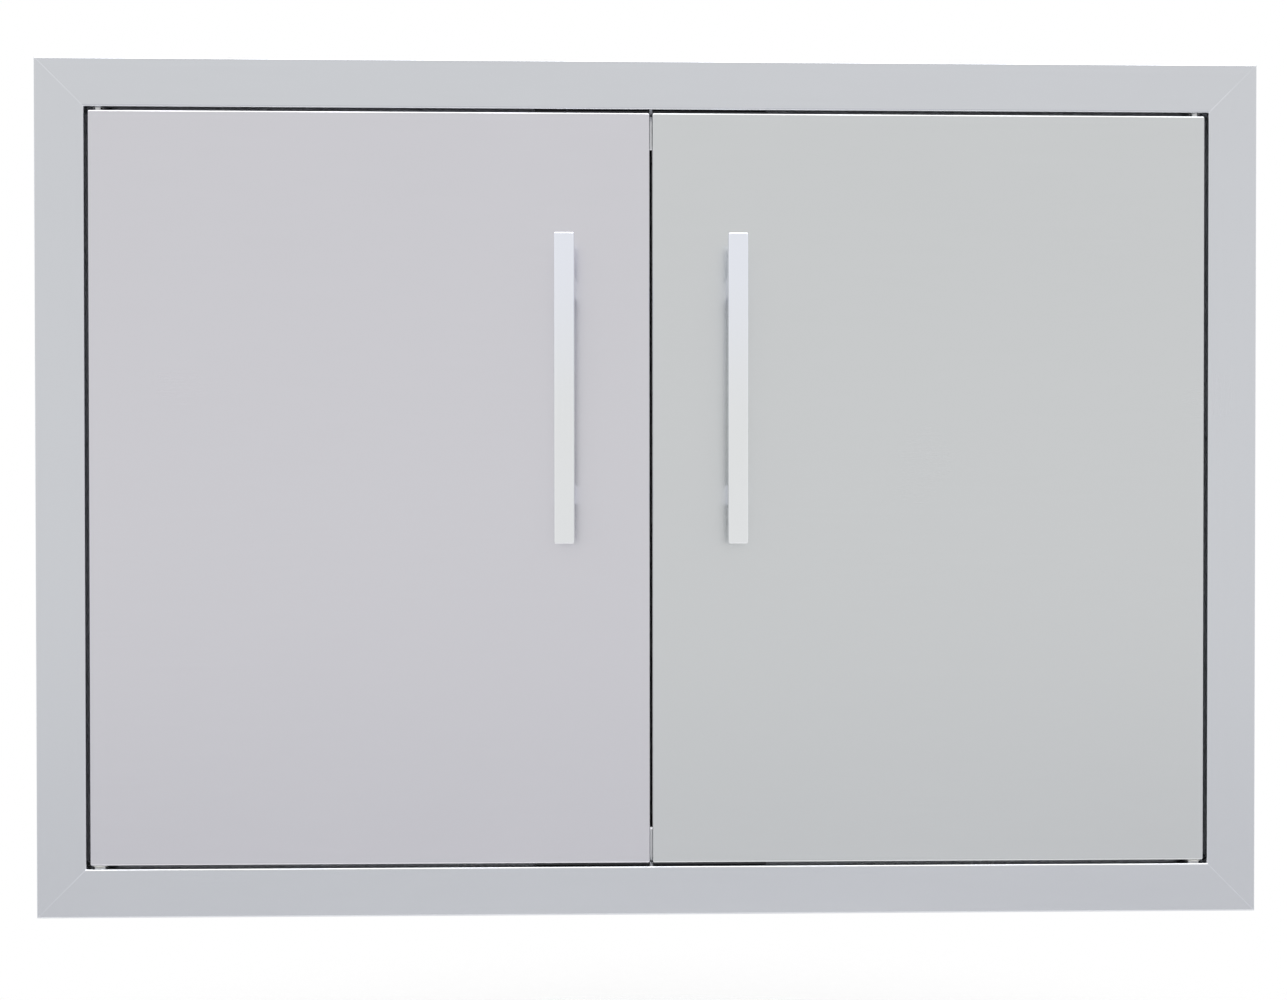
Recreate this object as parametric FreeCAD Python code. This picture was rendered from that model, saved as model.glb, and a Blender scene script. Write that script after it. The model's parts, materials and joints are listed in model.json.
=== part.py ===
"""Double access door for an outdoor kitchen island, as separate folded-sheet pieces.

Millimetres. X runs to the right, Y runs from the viewer into the wall, Z runs up.
The origin is the centre of the cut-out in the wall, in the plane of the wall's face.
Everything is drawn on the right hand side and mirrored or turned to the other sides.
"""
import FreeCAD, Part
import math
import os

from FreeCAD import Vector

# Overall size of the frame face and how far it stands off the wall
FRAME_WIDTH = 762.0
FRAME_HEIGHT = 533.4
FACE_WIDTH = 30.5
FRAME_PROUD = 19.0

# Folded frame sheet: face, outer return, back lip on the wall, sleeve through the wall
FRAME_SHEET = 1.2
BACK_LIP = 12.0
SLEEVE_DEPTH = 50.0
EDGE_BEND = 0.2
OPENING_BEND = 0.2
LIP_BEND = 0.5
HEM_BEND = 0.4
SLEEVE_HEM = 7.0

# Stop angles welded inside the sleeve, which the doors close against
STOP_SHEET = 1.2
STOP_SETBACK = 15.5
STOP_WIDTH = 21.5
STOP_LEG = 16.0
STOP_BEND = 0.8
STOP_HEM = 6.0

# Screw holes through the sleeve into the wall
WALL_SCREW_HOLE = 5.0
WALL_SCREW_SETBACK = 35.0
SIDE_SCREW_SPACING = 300.0
RAIL_SCREW_SPACING = 400.0

# Door leaves
SIDE_GAP = 2.3
END_GAP = 2.0
MIDDLE_GAP = 1.6
DOOR_DEPTH = 13.0
SKIN_SHEET = 1.0
SKIN_BEND = 0.2
LINER_SHEET = 0.8
LINER_WALL = 2.2
LINER_BEND = 0.4
NEST_CLEARANCE = 0.05

# Pull handle of square bar on two square posts
BAR_SIDE = 12.0
BAR_LENGTH = 188.0
BAR_EDGE = 0.8
HANDLE_PROUD = 34.0
POST_SIDE = 12.0
POST_SPACING = 128.0
HANDLE_INSET = 51.9
HANDLE_HEIGHT = 60.0
HANDLE_SCREW = 5.0
HANDLE_SCREW_GRIP = 12.0
SCREW_HOLE_CLEARANCE = 0.25
SCREW_HEAD = 9.0
SCREW_HEAD_HEIGHT = 3.2
SCREW_SOCKET = 3.0
WASHER = 14.0
WASHER_SHEET = 1.2
ACCESS_HOLE = 12.0
PLUG_HEAD = 15.0
PLUG_HEAD_HEIGHT = 1.0
PLUG_DEPTH = 3.0
PLUG_CLEARANCE = 0.1

# Pivot line of each leaf, measured from the leaf's outer side and from its front
PIVOT_INSET = 5.3
PIVOT_SETBACK = 5.0
PIN = 5.0
PIN_CHAMFER = 0.8
RUNNING_CLEARANCE = 0.05
PRESS_CLEARANCE = 0.02
BUSH_WALL = 0.7
BUSH_FLANGE = 9.0
THRUST_WASHER_SHEET = 1.0
THRUST_CLEARANCE = 0.2
PIN_HEAD_HEIGHT = 1.5
LOWER_PIN_ENGAGEMENT = 8.0
PIVOT_PLATE_SHEET = 3.0
PIVOT_PLATE_WIDTH = 24.0
PIVOT_PLATE_DEPTH = 12.0
BUSH_FLANGE_HEIGHT = 1.2
FLANGE_CLEARANCE = 0.1

# Hinge brackets inside the leaf
BRACKET_SHEET = 1.7
BRACKET_WIDTH = 15.5
BRACKET_WEB_SETBACK = 4.0
BRACKET_HEIGHT = 32.0

# Spring-loaded upper pin, its lever and its finger knob
PIN_TIP_PROUD = 0.4
PIN_RELEASE_CLEARANCE = 0.3
COLLAR = 7.0
COLLAR_HEIGHT = 2.0
SPRING_WIRE = 0.7
SPRING_CLEARANCE = 0.3
SPRING_TURNS = 9
LEVER_SHEET = 2.0
LEVER_REACH = 24.5
LEVER_WIDTH = 6.0
LEVER_DROP = 6.0
LEVER_CLEARANCE = 0.5
LEVER_PROUD = 5.0
KNOB = 8.0
KNOB_LENGTH = 6.0
KNOB_EDGE = 1.0
PIN_TAIL = 2.5

# Magnet strips on the top and bottom edge of each leaf, strike plates in the frame
MAGNET_STRIP_REACH = 72.5
MAGNET_STRIP_DEPTH = 10.0
MAGNET_STRIP_CLEARANCE = 0.5
MAGNET_STRIP_SETBACK = 2.0
MAGNET_STRIP_END = 0.2
MAGNET_LENGTH = 58.0
MAGNET_DEPTH = 7.0
MAGNET_HEIGHT = 0.9
MAGNET_POCKET_CLEARANCE = 0.1
PEG = 3.8
PEG_HEAD = 5.0
PEG_HEAD_HEIGHT = 1.2
PEG_CLEARANCE = 0.1
PEG_INSET = 6.0
STRIKE_SHEET = 1.5

# Soft bumpers on the stop angles
BUMPER = 10.0
BUMPER_CLEARANCE = 0.3
BUMPER_INSET = 28.0
BUMPER_EDGE = 0.8

# A cutting tool runs this far past the face it opens
OVERCUT = 1.0

AXIS_X = Vector(1, 0, 0)
AXIS_Y = Vector(0, 1, 0)
AXIS_Z = Vector(0, 0, 1)
CENTRE = Vector(0, 0, 0)

# Places that follow from the sizes above
FRONT = -FRAME_PROUD
HALF_OPEN_WIDTH = FRAME_WIDTH / 2 - FACE_WIDTH
HALF_OPEN_HEIGHT = FRAME_HEIGHT / 2 - FACE_WIDTH
STOP_FRONT = FRONT + STOP_SETBACK
DOOR_INNER = MIDDLE_GAP / 2
DOOR_OUTER = HALF_OPEN_WIDTH - SIDE_GAP
DOOR_TOP = HALF_OPEN_HEIGHT - END_GAP
DOOR_BACK = FRONT + DOOR_DEPTH
SKIN_INSIDE = FRONT + SKIN_SHEET
HANDLE_X = DOOR_INNER + HANDLE_INSET
PIVOT_X = DOOR_OUTER - PIVOT_INSET
PIVOT_Y = FRONT + PIVOT_SETBACK
PIN_RADIUS = PIN / 2
BORE_RADIUS = PIN_RADIUS + RUNNING_CLEARANCE
BUSH_RADIUS = BORE_RADIUS + BUSH_WALL
HIDDEN_FLANGE_RADIUS = PIVOT_SETBACK - FRAME_SHEET - FLANGE_CLEARANCE
SLEEVE_TOP = HALF_OPEN_HEIGHT + FRAME_SHEET
PLATE_TOP = SLEEVE_TOP + PIVOT_PLATE_SHEET
PIN_TIP = PLATE_TOP + PIN_TIP_PROUD
PIN_TRAVEL = PIN_TIP - DOOR_TOP + PIN_RELEASE_CLEARANCE


def block(low, high):
    """A box between two opposite corners."""
    size = high - low
    return Part.makeBox(size.x, size.y, size.z, low)


def rod(base, direction, radius, length):
    """A round bar that starts at base and runs along direction."""
    return Part.makeCylinder(radius, length, base, direction)


def ring(base, direction, outer, inner, length):
    """A round bar with a hole all the way through."""
    start = base - direction * OVERCUT
    return rod(base, direction, outer, length).cut(rod(start, direction, inner, length + 2 * OVERCUT))


def mirrored(shape):
    """The same piece on the left hand side."""
    return shape.mirror(CENTRE, AXIS_X)


def turned_over(shape):
    """The same piece turned half round about the front-to-back axis."""
    return shape.rotated(CENTRE, AXIS_Y, 180)


def upside_down(shape):
    """The same piece at the bottom instead of the top, on the same side."""
    return shape.mirror(CENTRE, AXIS_Z)


def chamfered(shape, size, wanted):
    """The shape with a small chamfer on each edge that wanted picks."""
    return shape.makeChamfer(size, [edge for edge in shape.Edges if wanted(edge)])


def on_line(edge, y, z):
    """Whether an edge lies along X at the given depth and height."""
    box = edge.BoundBox
    return abs(box.YMin - y) + abs(box.YMax - y) + abs(box.ZMin - z) + abs(box.ZMax - z) < NEST_CLEARANCE


def arc_edge(start, middle, end):
    """A circular edge through three points."""
    return Part.Arc(start, middle, end).toShape()


def folded_section(points, bends, sheet):
    """Cross-section of folded sheet along its middle line, with one inside radius per bend."""
    half = sheet / 2
    left = []
    right = []
    start = points[0]
    for index, bend in enumerate(bends):
        corner = points[index + 1]
        into = (corner - points[index]).normalize()
        out = (points[index + 2] - corner).normalize()
        turn = into.x * out.y - into.y * out.x
        side = 1 if turn > 0 else -1
        radius = bend + half
        reach = radius * math.tan(math.acos(max(-1.0, min(1.0, into.dot(out)))) / 2)
        first = corner - into * reach
        last = corner + out * reach
        normal_in = Vector(-into.y, into.x, 0) * side
        normal_out = Vector(-out.y, out.x, 0) * side
        centre = first + normal_in * radius
        middle = (normal_in + normal_out).normalize() * -1
        for path, shift in ((left, -side), (right, side)):
            edge_radius = radius + shift * half
            first_point = centre - normal_in * edge_radius
            last_point = centre - normal_out * edge_radius
            run_start = start + Vector(-into.y, into.x, 0) * (half if path is left else -half)
            if (first_point - run_start).Length > sheet * 0.001:
                path.append(Part.makeLine(run_start, first_point))
            path.append(arc_edge(first_point, centre + middle * edge_radius, last_point))
        start = last
    end = points[-1]
    along = (end - points[-2]).normalize()
    across = Vector(-along.y, along.x, 0) * half
    left.append(Part.makeLine(start + across, end + across))
    right.append(Part.makeLine(start - across, end - across))
    first_along = (points[1] - points[0]).normalize()
    first_across = Vector(-first_along.y, first_along.x, 0) * half
    caps = [
        Part.makeLine(end + across, end - across),
        Part.makeLine(points[0] + first_across, points[0] - first_across),
    ]
    edges = Part.sortEdges(left + right + caps)[0]
    return Part.Face(Part.Wire(edges))


def ring_side(section, half_across, half_along):
    """One mitred side of a rectangular ring, on the +X side, from a section whose X is outward."""
    reach = FACE_WIDTH + OVERCUT
    half_length = half_along + reach
    straight = section.extrude(AXIS_Z * (2 * half_length))
    straight.translate(Vector(half_across, 0, -half_length))
    depth_low = FRONT - OVERCUT
    corners = [
        Vector(half_across - half_along, depth_low, 0),
        Vector(half_across + reach, depth_low, half_length),
        Vector(half_across + reach, depth_low, -half_length),
    ]
    mitre = Part.Face(Part.makePolygon(corners + corners[:1]))
    depth = FRAME_PROUD + SLEEVE_DEPTH + 2 * OVERCUT
    return straight.common(mitre.extrude(AXIS_Y * depth))


def upright_to_rail(shape):
    """Turn a side that was made on +X so that it lies along the top."""
    return shape.rotated(CENTRE, AXIS_Y, -90)


def frame_section():
    """Section of a frame side: back lip, outer return, face, sleeve and rear hem."""
    half = FRAME_SHEET / 2
    hem_step = FRAME_SHEET + 2 * HEM_BEND
    rear = SLEEVE_DEPTH - half
    points = [
        Vector(FACE_WIDTH - BACK_LIP, -half, 0),
        Vector(FACE_WIDTH - half, -half, 0),
        Vector(FACE_WIDTH - half, FRONT + half, 0),
        Vector(half, FRONT + half, 0),
        Vector(half, rear, 0),
        Vector(half - hem_step, rear, 0),
        Vector(half - hem_step, rear - SLEEVE_HEM, 0),
    ]
    bends = [LIP_BEND, EDGE_BEND, OPENING_BEND, HEM_BEND, HEM_BEND]
    return folded_section(points, bends, FRAME_SHEET)


def stop_section():
    """Section of a stop angle: leg on the sleeve, flange across the opening, hemmed edge."""
    half = STOP_SHEET / 2
    hem_step = STOP_SHEET + 2 * HEM_BEND
    edge = half - STOP_WIDTH
    face = STOP_FRONT + half
    points = [
        Vector(-half, STOP_FRONT + STOP_LEG, 0),
        Vector(-half, face, 0),
        Vector(edge, face, 0),
        Vector(edge, face + hem_step, 0),
        Vector(edge + STOP_HEM, face + hem_step, 0),
    ]
    bends = [STOP_BEND, HEM_BEND, HEM_BEND]
    return folded_section(points, bends, STOP_SHEET)


def side_holes():
    """Holes through the right hand sleeve wall for the wall screws."""
    holes = []
    for place in (-SIDE_SCREW_SPACING / 2, SIDE_SCREW_SPACING / 2):
        start = Vector(HALF_OPEN_WIDTH - OVERCUT, WALL_SCREW_SETBACK, place)
        holes.append(rod(start, AXIS_X, WALL_SCREW_HOLE / 2, FRAME_SHEET + 2 * OVERCUT))
    return holes


def rail_holes(pivot_hole):
    """Holes through the top sleeve wall: wall screws and the two pivots."""
    holes = []
    low = HALF_OPEN_HEIGHT - OVERCUT
    length = FRAME_SHEET + 2 * OVERCUT
    for side in (-1, 1):
        screw = Vector(side * RAIL_SCREW_SPACING / 2, WALL_SCREW_SETBACK, low)
        pivot = Vector(side * PIVOT_X, PIVOT_Y, low)
        holes.append(rod(screw, AXIS_Z, WALL_SCREW_HOLE / 2, length))
        holes.append(rod(pivot, AXIS_Z, pivot_hole, length))
    return holes


def frame_sides():
    """The four mitred sides of the frame."""
    stile = ring_side(frame_section(), HALF_OPEN_WIDTH, HALF_OPEN_HEIGHT).cut(side_holes())
    rail = upright_to_rail(ring_side(frame_section(), HALF_OPEN_HEIGHT, HALF_OPEN_WIDTH))
    top = rail.cut(rail_holes(BUSH_RADIUS + PRESS_CLEARANCE))
    bottom = upside_down(rail.cut(rail_holes(PIN_RADIUS + PRESS_CLEARANCE)))
    return {
        "frame_right_stile": stile,
        "frame_left_stile": turned_over(stile),
        "frame_top_rail": top,
        "frame_bottom_rail": bottom,
    }


def stop_sides():
    """The four mitred stop angles."""
    stile = ring_side(stop_section(), HALF_OPEN_WIDTH, HALF_OPEN_HEIGHT)
    rail = upright_to_rail(ring_side(stop_section(), HALF_OPEN_HEIGHT, HALF_OPEN_WIDTH))
    return {
        "stop_right_stile": stile,
        "stop_left_stile": turned_over(stile),
        "stop_top_rail": rail,
        "stop_bottom_rail": turned_over(rail),
    }


def pivot_plate(hole):
    """Thick plate on the hidden side of the top sleeve wall, around the right hand pivot."""
    low = Vector(PIVOT_X - PIVOT_PLATE_WIDTH / 2, FRONT + FRAME_SHEET + NEST_CLEARANCE, SLEEVE_TOP)
    high = Vector(low.x + PIVOT_PLATE_WIDTH, low.y + PIVOT_PLATE_DEPTH, PLATE_TOP)
    plate = chamfered(block(low, high), OPENING_BEND, lambda edge: on_line(edge, low.y, low.z))
    start = Vector(PIVOT_X, PIVOT_Y, SLEEVE_TOP - OVERCUT)
    return plate.cut(rod(start, AXIS_Z, hole, PIVOT_PLATE_SHEET + 2 * OVERCUT))


def upper_bush():
    """Plastic bush in the top pivot plate, with its flange on the hidden side."""
    body_start = Vector(PIVOT_X, PIVOT_Y, HALF_OPEN_HEIGHT)
    flange_start = Vector(PIVOT_X, PIVOT_Y, PLATE_TOP)
    body = rod(body_start, AXIS_Z, BUSH_RADIUS, PLATE_TOP - HALF_OPEN_HEIGHT)
    flange = rod(flange_start, AXIS_Z, HIDDEN_FLANGE_RADIUS, BUSH_FLANGE_HEIGHT)
    bore = rod(body_start - AXIS_Z * OVERCUT, AXIS_Z, BORE_RADIUS, PLATE_TOP - HALF_OPEN_HEIGHT + 3 * OVERCUT)
    return body.fuse(flange).cut(bore).removeSplitter()


def lower_pin():
    """Fixed lower pin, drawn at the top and turned over: head behind the plate, tip in the leaf."""
    tip = DOOR_TOP - LOWER_PIN_ENGAGEMENT
    head = rod(Vector(PIVOT_X, PIVOT_Y, PLATE_TOP), AXIS_Z, HIDDEN_FLANGE_RADIUS, PIN_HEAD_HEIGHT)
    shaft = rod(Vector(PIVOT_X, PIVOT_Y, tip), AXIS_Z, PIN_RADIUS, PLATE_TOP - tip)
    shaft = chamfered(shaft, PIN_CHAMFER, lambda edge: edge.Closed and edge.CenterOfMass.z < tip + PIN_CHAMFER)
    return upside_down(head.fuse(shaft).removeSplitter())


def thrust_washer():
    """Hard washer on the bottom sleeve wall that carries the leaf."""
    start = Vector(PIVOT_X, PIVOT_Y, -HALF_OPEN_HEIGHT)
    return ring(start, AXIS_Z, BUSH_FLANGE / 2, BORE_RADIUS, THRUST_WASHER_SHEET)


def lower_bush():
    """Plastic bush in the foot of the leaf, with its flange in the gap above the washer."""
    flange_low = -HALF_OPEN_HEIGHT + THRUST_WASHER_SHEET + THRUST_CLEARANCE
    body_high = -DOOR_TOP + SKIN_SHEET + BRACKET_SHEET + 2 * NEST_CLEARANCE
    base = Vector(PIVOT_X, PIVOT_Y, flange_low)
    flange = rod(base, AXIS_Z, BUSH_FLANGE / 2, -DOOR_TOP - flange_low)
    body = rod(base, AXIS_Z, BUSH_RADIUS, body_high - flange_low)
    bore = rod(base - AXIS_Z * OVERCUT, AXIS_Z, BORE_RADIUS, body_high - flange_low + 2 * OVERCUT)
    return flange.fuse(body).cut(bore).removeSplitter()


def rounded_tray(low, high, radius, open_y):
    """A block rounded on every edge but those of the face at open_y."""
    solid = block(low, high)
    edges = []
    for edge in solid.Edges:
        box = edge.BoundBox
        if abs(box.YMin - open_y) + abs(box.YMax - open_y) > OVERCUT / 2:
            edges.append(edge)
    return solid.makeFillet(radius, edges)


def pan(low, high, sheet, inside_bend, opens_back):
    """A folded tray of sheet, open to the back or to the front."""
    wall = Vector(sheet, 0, sheet)
    outer = rounded_tray(low, high, inside_bend + sheet, high.y if opens_back else low.y)
    if opens_back:
        inner_low = low + wall + AXIS_Y * sheet
        inner_high = high - wall + AXIS_Y * OVERCUT
        inner = rounded_tray(inner_low, inner_high, inside_bend, inner_high.y)
    else:
        inner_low = low + wall - AXIS_Y * OVERCUT
        inner_high = high - wall - AXIS_Y * sheet
        inner = rounded_tray(inner_low, inner_high, inside_bend, inner_low.y)
    return outer.cut(inner)


def handle_heights():
    """Heights of the two posts of a handle."""
    return (HANDLE_HEIGHT - POST_SPACING / 2, HANDLE_HEIGHT + POST_SPACING / 2)


def peg_places():
    """Places along X of the two pegs that hold a magnet strip."""
    first = strip_low() + PEG_INSET
    last = MAGNET_STRIP_REACH - PEG_INSET
    return (first, last)


def strip_low():
    """Inner end of a magnet strip, just inside the leaf's free edge."""
    return DOOR_INNER + MAGNET_STRIP_END


def strip_middle_y():
    """Middle of a magnet strip from front to back."""
    return FRONT + MAGNET_STRIP_SETBACK + MAGNET_STRIP_DEPTH / 2


def lever_slot():
    """Slot in the liner for the release lever, as long as the pin's travel."""
    knob_x = PIVOT_X - LEVER_REACH
    high_z = lever_top() + LEVER_CLEARANCE
    low_z = lever_top() - LEVER_SHEET - PIN_TRAVEL - LEVER_CLEARANCE
    half = LEVER_WIDTH / 2 + LEVER_CLEARANCE
    low = Vector(knob_x - half, DOOR_BACK - LINER_SHEET - OVERCUT, low_z)
    high = Vector(knob_x + half, DOOR_BACK + OVERCUT, high_z)
    return block(low, high)


def lever_top():
    """Height of the release lever's upper face, under the bracket's lower ear."""
    return DOOR_TOP - SKIN_SHEET - NEST_CLEARANCE - BRACKET_HEIGHT - LEVER_DROP


def door_skin():
    """Outer tray of the right hand leaf with the holes for what it carries."""
    low = Vector(DOOR_INNER, FRONT, -DOOR_TOP)
    high = Vector(DOOR_OUTER, DOOR_BACK, DOOR_TOP)
    skin = pan(low, high, SKIN_SHEET, SKIN_BEND, True)
    length = SKIN_SHEET + 2 * OVERCUT
    top_start = Vector(PIVOT_X, PIVOT_Y, DOOR_TOP - SKIN_SHEET - OVERCUT)
    foot_start = Vector(PIVOT_X, PIVOT_Y, -DOOR_TOP - OVERCUT)
    tools = [
        rod(top_start, AXIS_Z, BORE_RADIUS, length),
        rod(foot_start, AXIS_Z, BUSH_RADIUS + PRESS_CLEARANCE, length),
    ]
    for height in handle_heights():
        start = Vector(HANDLE_X, FRONT - OVERCUT, height)
        tools.append(rod(start, AXIS_Y, HANDLE_SCREW / 2 + SCREW_HOLE_CLEARANCE, length))
    for place in peg_places():
        start = Vector(place, strip_middle_y(), DOOR_TOP - SKIN_SHEET - OVERCUT)
        hole = rod(start, AXIS_Z, PEG / 2 + PEG_CLEARANCE, length)
        tools.append(hole)
        tools.append(upside_down(hole))
    return skin.cut(tools)


def door_liner():
    """Inner tray that closes the back of the right hand leaf."""
    inset = SKIN_SHEET + NEST_CLEARANCE
    low = Vector(DOOR_INNER + inset, DOOR_BACK - LINER_WALL, -DOOR_TOP + inset)
    high = Vector(DOOR_OUTER - inset, DOOR_BACK, DOOR_TOP - inset)
    liner = pan(low, high, LINER_SHEET, LINER_BEND, False)
    tools = [lever_slot()]
    for height in handle_heights():
        start = Vector(HANDLE_X, DOOR_BACK - LINER_SHEET - OVERCUT, height)
        tools.append(rod(start, AXIS_Y, ACCESS_HOLE / 2, LINER_SHEET + 2 * OVERCUT))
    return liner.cut(tools)


def handle_bar():
    """Square bar of the right hand handle."""
    half = BAR_SIDE / 2
    front = FRONT - HANDLE_PROUD
    low = Vector(HANDLE_X - half, front, HANDLE_HEIGHT - BAR_LENGTH / 2)
    high = Vector(HANDLE_X + half, front + BAR_SIDE, HANDLE_HEIGHT + BAR_LENGTH / 2)
    return chamfered(block(low, high), BAR_EDGE, lambda edge: True)


def handle_posts():
    """Two square posts between the leaf and the bar, each tapped from behind."""
    half = POST_SIDE / 2
    posts = []
    for height in handle_heights():
        low = Vector(HANDLE_X - half, FRONT - HANDLE_PROUD + BAR_SIDE, height - half)
        high = Vector(HANDLE_X + half, FRONT, height + half)
        post = chamfered(block(low, high), BAR_EDGE, lambda edge: edge.BoundBox.YLength > half)
        start = Vector(HANDLE_X, FRONT + OVERCUT, height)
        depth = HANDLE_SCREW_GRIP + OVERCUT + PRESS_CLEARANCE
        posts.append(post.cut(rod(start, -AXIS_Y, HANDLE_SCREW / 2 + PRESS_CLEARANCE, depth)))
    return Part.makeCompound(posts)


def handle_washers():
    """Wide washers under the handle screws, inside the leaf."""
    washers = []
    for height in handle_heights():
        start = Vector(HANDLE_X, SKIN_INSIDE, height)
        washers.append(ring(start, AXIS_Y, WASHER / 2, HANDLE_SCREW / 2 + SCREW_HOLE_CLEARANCE, WASHER_SHEET))
    return Part.makeCompound(washers)


def handle_screws():
    """Button-head screws from inside the leaf into the posts."""
    screws = []
    seat = SKIN_INSIDE + WASHER_SHEET
    for height in handle_heights():
        tip = Vector(HANDLE_X, FRONT - HANDLE_SCREW_GRIP, height)
        shank = rod(tip, AXIS_Y, HANDLE_SCREW / 2, seat - tip.y)
        head = rod(Vector(HANDLE_X, seat, height), AXIS_Y, SCREW_HEAD / 2, SCREW_HEAD_HEIGHT)
        head = chamfered(head, SCREW_HEAD_HEIGHT / 3, lambda edge: edge.BoundBox.YMin > seat + OVERCUT)
        socket_start = Vector(HANDLE_X, seat + SCREW_HEAD_HEIGHT / 2, height)
        screws.append(shank.fuse(head).cut(hexagon(socket_start, SCREW_SOCKET, SCREW_HEAD_HEIGHT)))
    return Part.makeCompound(screws)


def hexagon(base, across_flats, length):
    """Six-sided prism that runs back from base."""
    radius = across_flats / math.sqrt(3)
    corners = []
    for index in range(7):
        angle = math.radians(60 * index)
        corners.append(base + Vector(radius * math.cos(angle), 0, radius * math.sin(angle)))
    return Part.Face(Part.makePolygon(corners)).extrude(AXIS_Y * length)


def access_plugs():
    """Snap-in plugs that close the screw access holes in the liner."""
    plugs = []
    for height in handle_heights():
        face = Vector(HANDLE_X, DOOR_BACK, height)
        head = rod(face, AXIS_Y, PLUG_HEAD / 2, PLUG_HEAD_HEIGHT)
        head = chamfered(head, PLUG_HEAD_HEIGHT / 2, lambda edge: edge.BoundBox.YMin > DOOR_BACK + PLUG_HEAD_HEIGHT / 2)
        start = face - AXIS_Y * PLUG_DEPTH
        radius = ACCESS_HOLE / 2 - PLUG_CLEARANCE
        stem = ring(start, AXIS_Y, radius, radius - LINER_SHEET, PLUG_DEPTH)
        plugs.append(head.fuse(stem).removeSplitter())
    return Part.makeCompound(plugs)


def hinge_bracket(hole, second_ear):
    """Folded bracket in the top outer corner of the leaf, with a hole on the pivot line."""
    high_z = DOOR_TOP - SKIN_SHEET - NEST_CLEARANCE
    low_z = high_z - BRACKET_HEIGHT
    high_x = DOOR_OUTER - SKIN_SHEET - SKIN_BEND
    low_x = high_x - BRACKET_WIDTH
    front_y = SKIN_INSIDE + NEST_CLEARANCE
    web_y = PIVOT_Y + BRACKET_WEB_SETBACK
    back_y = web_y + BRACKET_SHEET
    ear = block(Vector(low_x, front_y, high_z - BRACKET_SHEET), Vector(high_x, back_y, high_z))
    pieces = [chamfered(ear, SKIN_BEND, lambda edge: on_line(edge, front_y, high_z))]
    web_low = low_z if second_ear else low_z + BRACKET_HEIGHT / 4
    pieces.append(block(Vector(low_x, web_y, web_low), Vector(high_x, back_y, high_z)))
    if second_ear:
        pieces.append(block(Vector(low_x, front_y, low_z), Vector(high_x, back_y, low_z + BRACKET_SHEET)))
    bracket = pieces[0].fuse(pieces[1:]).removeSplitter()
    start = Vector(PIVOT_X, PIVOT_Y, low_z - OVERCUT)
    return bracket.cut(rod(start, AXIS_Z, hole, BRACKET_HEIGHT + 2 * OVERCUT))


def collar_top():
    """Height of the collar's upper face, against the bracket's upper ear."""
    return DOOR_TOP - SKIN_SHEET - 2 * NEST_CLEARANCE - BRACKET_SHEET


def hinge_pin():
    """Sliding upper pin with the collar that its spring pushes on."""
    foot = lever_top() - LEVER_SHEET - PIN_TAIL
    shaft = rod(Vector(PIVOT_X, PIVOT_Y, foot), AXIS_Z, PIN_RADIUS, PIN_TIP - foot)
    shaft = chamfered(shaft, PIN_CHAMFER, lambda edge: edge.Closed and edge.CenterOfMass.z > PIN_TIP - PIN_CHAMFER)
    collar_start = Vector(PIVOT_X, PIVOT_Y, collar_top() - COLLAR_HEIGHT)
    return shaft.fuse(rod(collar_start, AXIS_Z, COLLAR / 2, COLLAR_HEIGHT)).removeSplitter()


def release_lever():
    """Flat lever on the pin's tail that comes out through the liner."""
    top = lever_top()
    low_z = top - LEVER_SHEET
    half = LEVER_WIDTH / 2
    knob_x = PIVOT_X - LEVER_REACH
    front_y = PIVOT_Y - half
    arm = block(Vector(knob_x - half, front_y, low_z), Vector(PIVOT_X + half, PIVOT_Y + half, top))
    finger = block(Vector(knob_x - half, front_y, low_z), Vector(knob_x + half, DOOR_BACK + LEVER_PROUD, top))
    hole = rod(Vector(PIVOT_X, PIVOT_Y, low_z - OVERCUT), AXIS_Z, PIN_RADIUS + PRESS_CLEARANCE,
               LEVER_SHEET + 2 * OVERCUT)
    return arm.fuse(finger).cut(hole).removeSplitter()


def release_knob():
    """Finger knob on the end of the lever."""
    centre_z = lever_top() - LEVER_SHEET / 2
    front = DOOR_BACK + LEVER_CLEARANCE
    start = Vector(PIVOT_X - LEVER_REACH, front, centre_z)
    knob = rod(start, AXIS_Y, KNOB / 2, KNOB_LENGTH)
    knob = chamfered(knob, KNOB_EDGE, lambda edge: edge.BoundBox.YMin > front + KNOB_LENGTH / 2)
    half = LEVER_WIDTH / 2 + PRESS_CLEARANCE
    flat = LEVER_SHEET / 2 + PRESS_CLEARANCE
    low = Vector(start.x - half, front - OVERCUT, centre_z - flat)
    high = Vector(start.x + half, DOOR_BACK + LEVER_PROUD + PRESS_CLEARANCE, centre_z + flat)
    return knob.cut(block(low, high))


def biarc(start, start_tangent, end, end_tangent):
    """Two arcs that join two points with the given directions."""
    gap = end - start
    both = start_tangent + end_tangent
    spread = 2 * (1 - start_tangent.dot(end_tangent))
    along = gap.dot(both)
    reach = (math.sqrt(along * along + spread * gap.dot(gap)) - along) / spread
    joint = (start + end + (start_tangent - end_tangent) * reach) * 0.5
    edges = []
    for first, handle, last in (
        (start, start + start_tangent * reach, joint),
        (joint, end - end_tangent * reach, end),
    ):
        weight = (last - first).Length / 2 / reach
        middle = (first + last + handle * (2 * weight)) * (0.5 / (1 + weight))
        edges.append(arc_edge(first, middle, last))
    return edges


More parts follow.
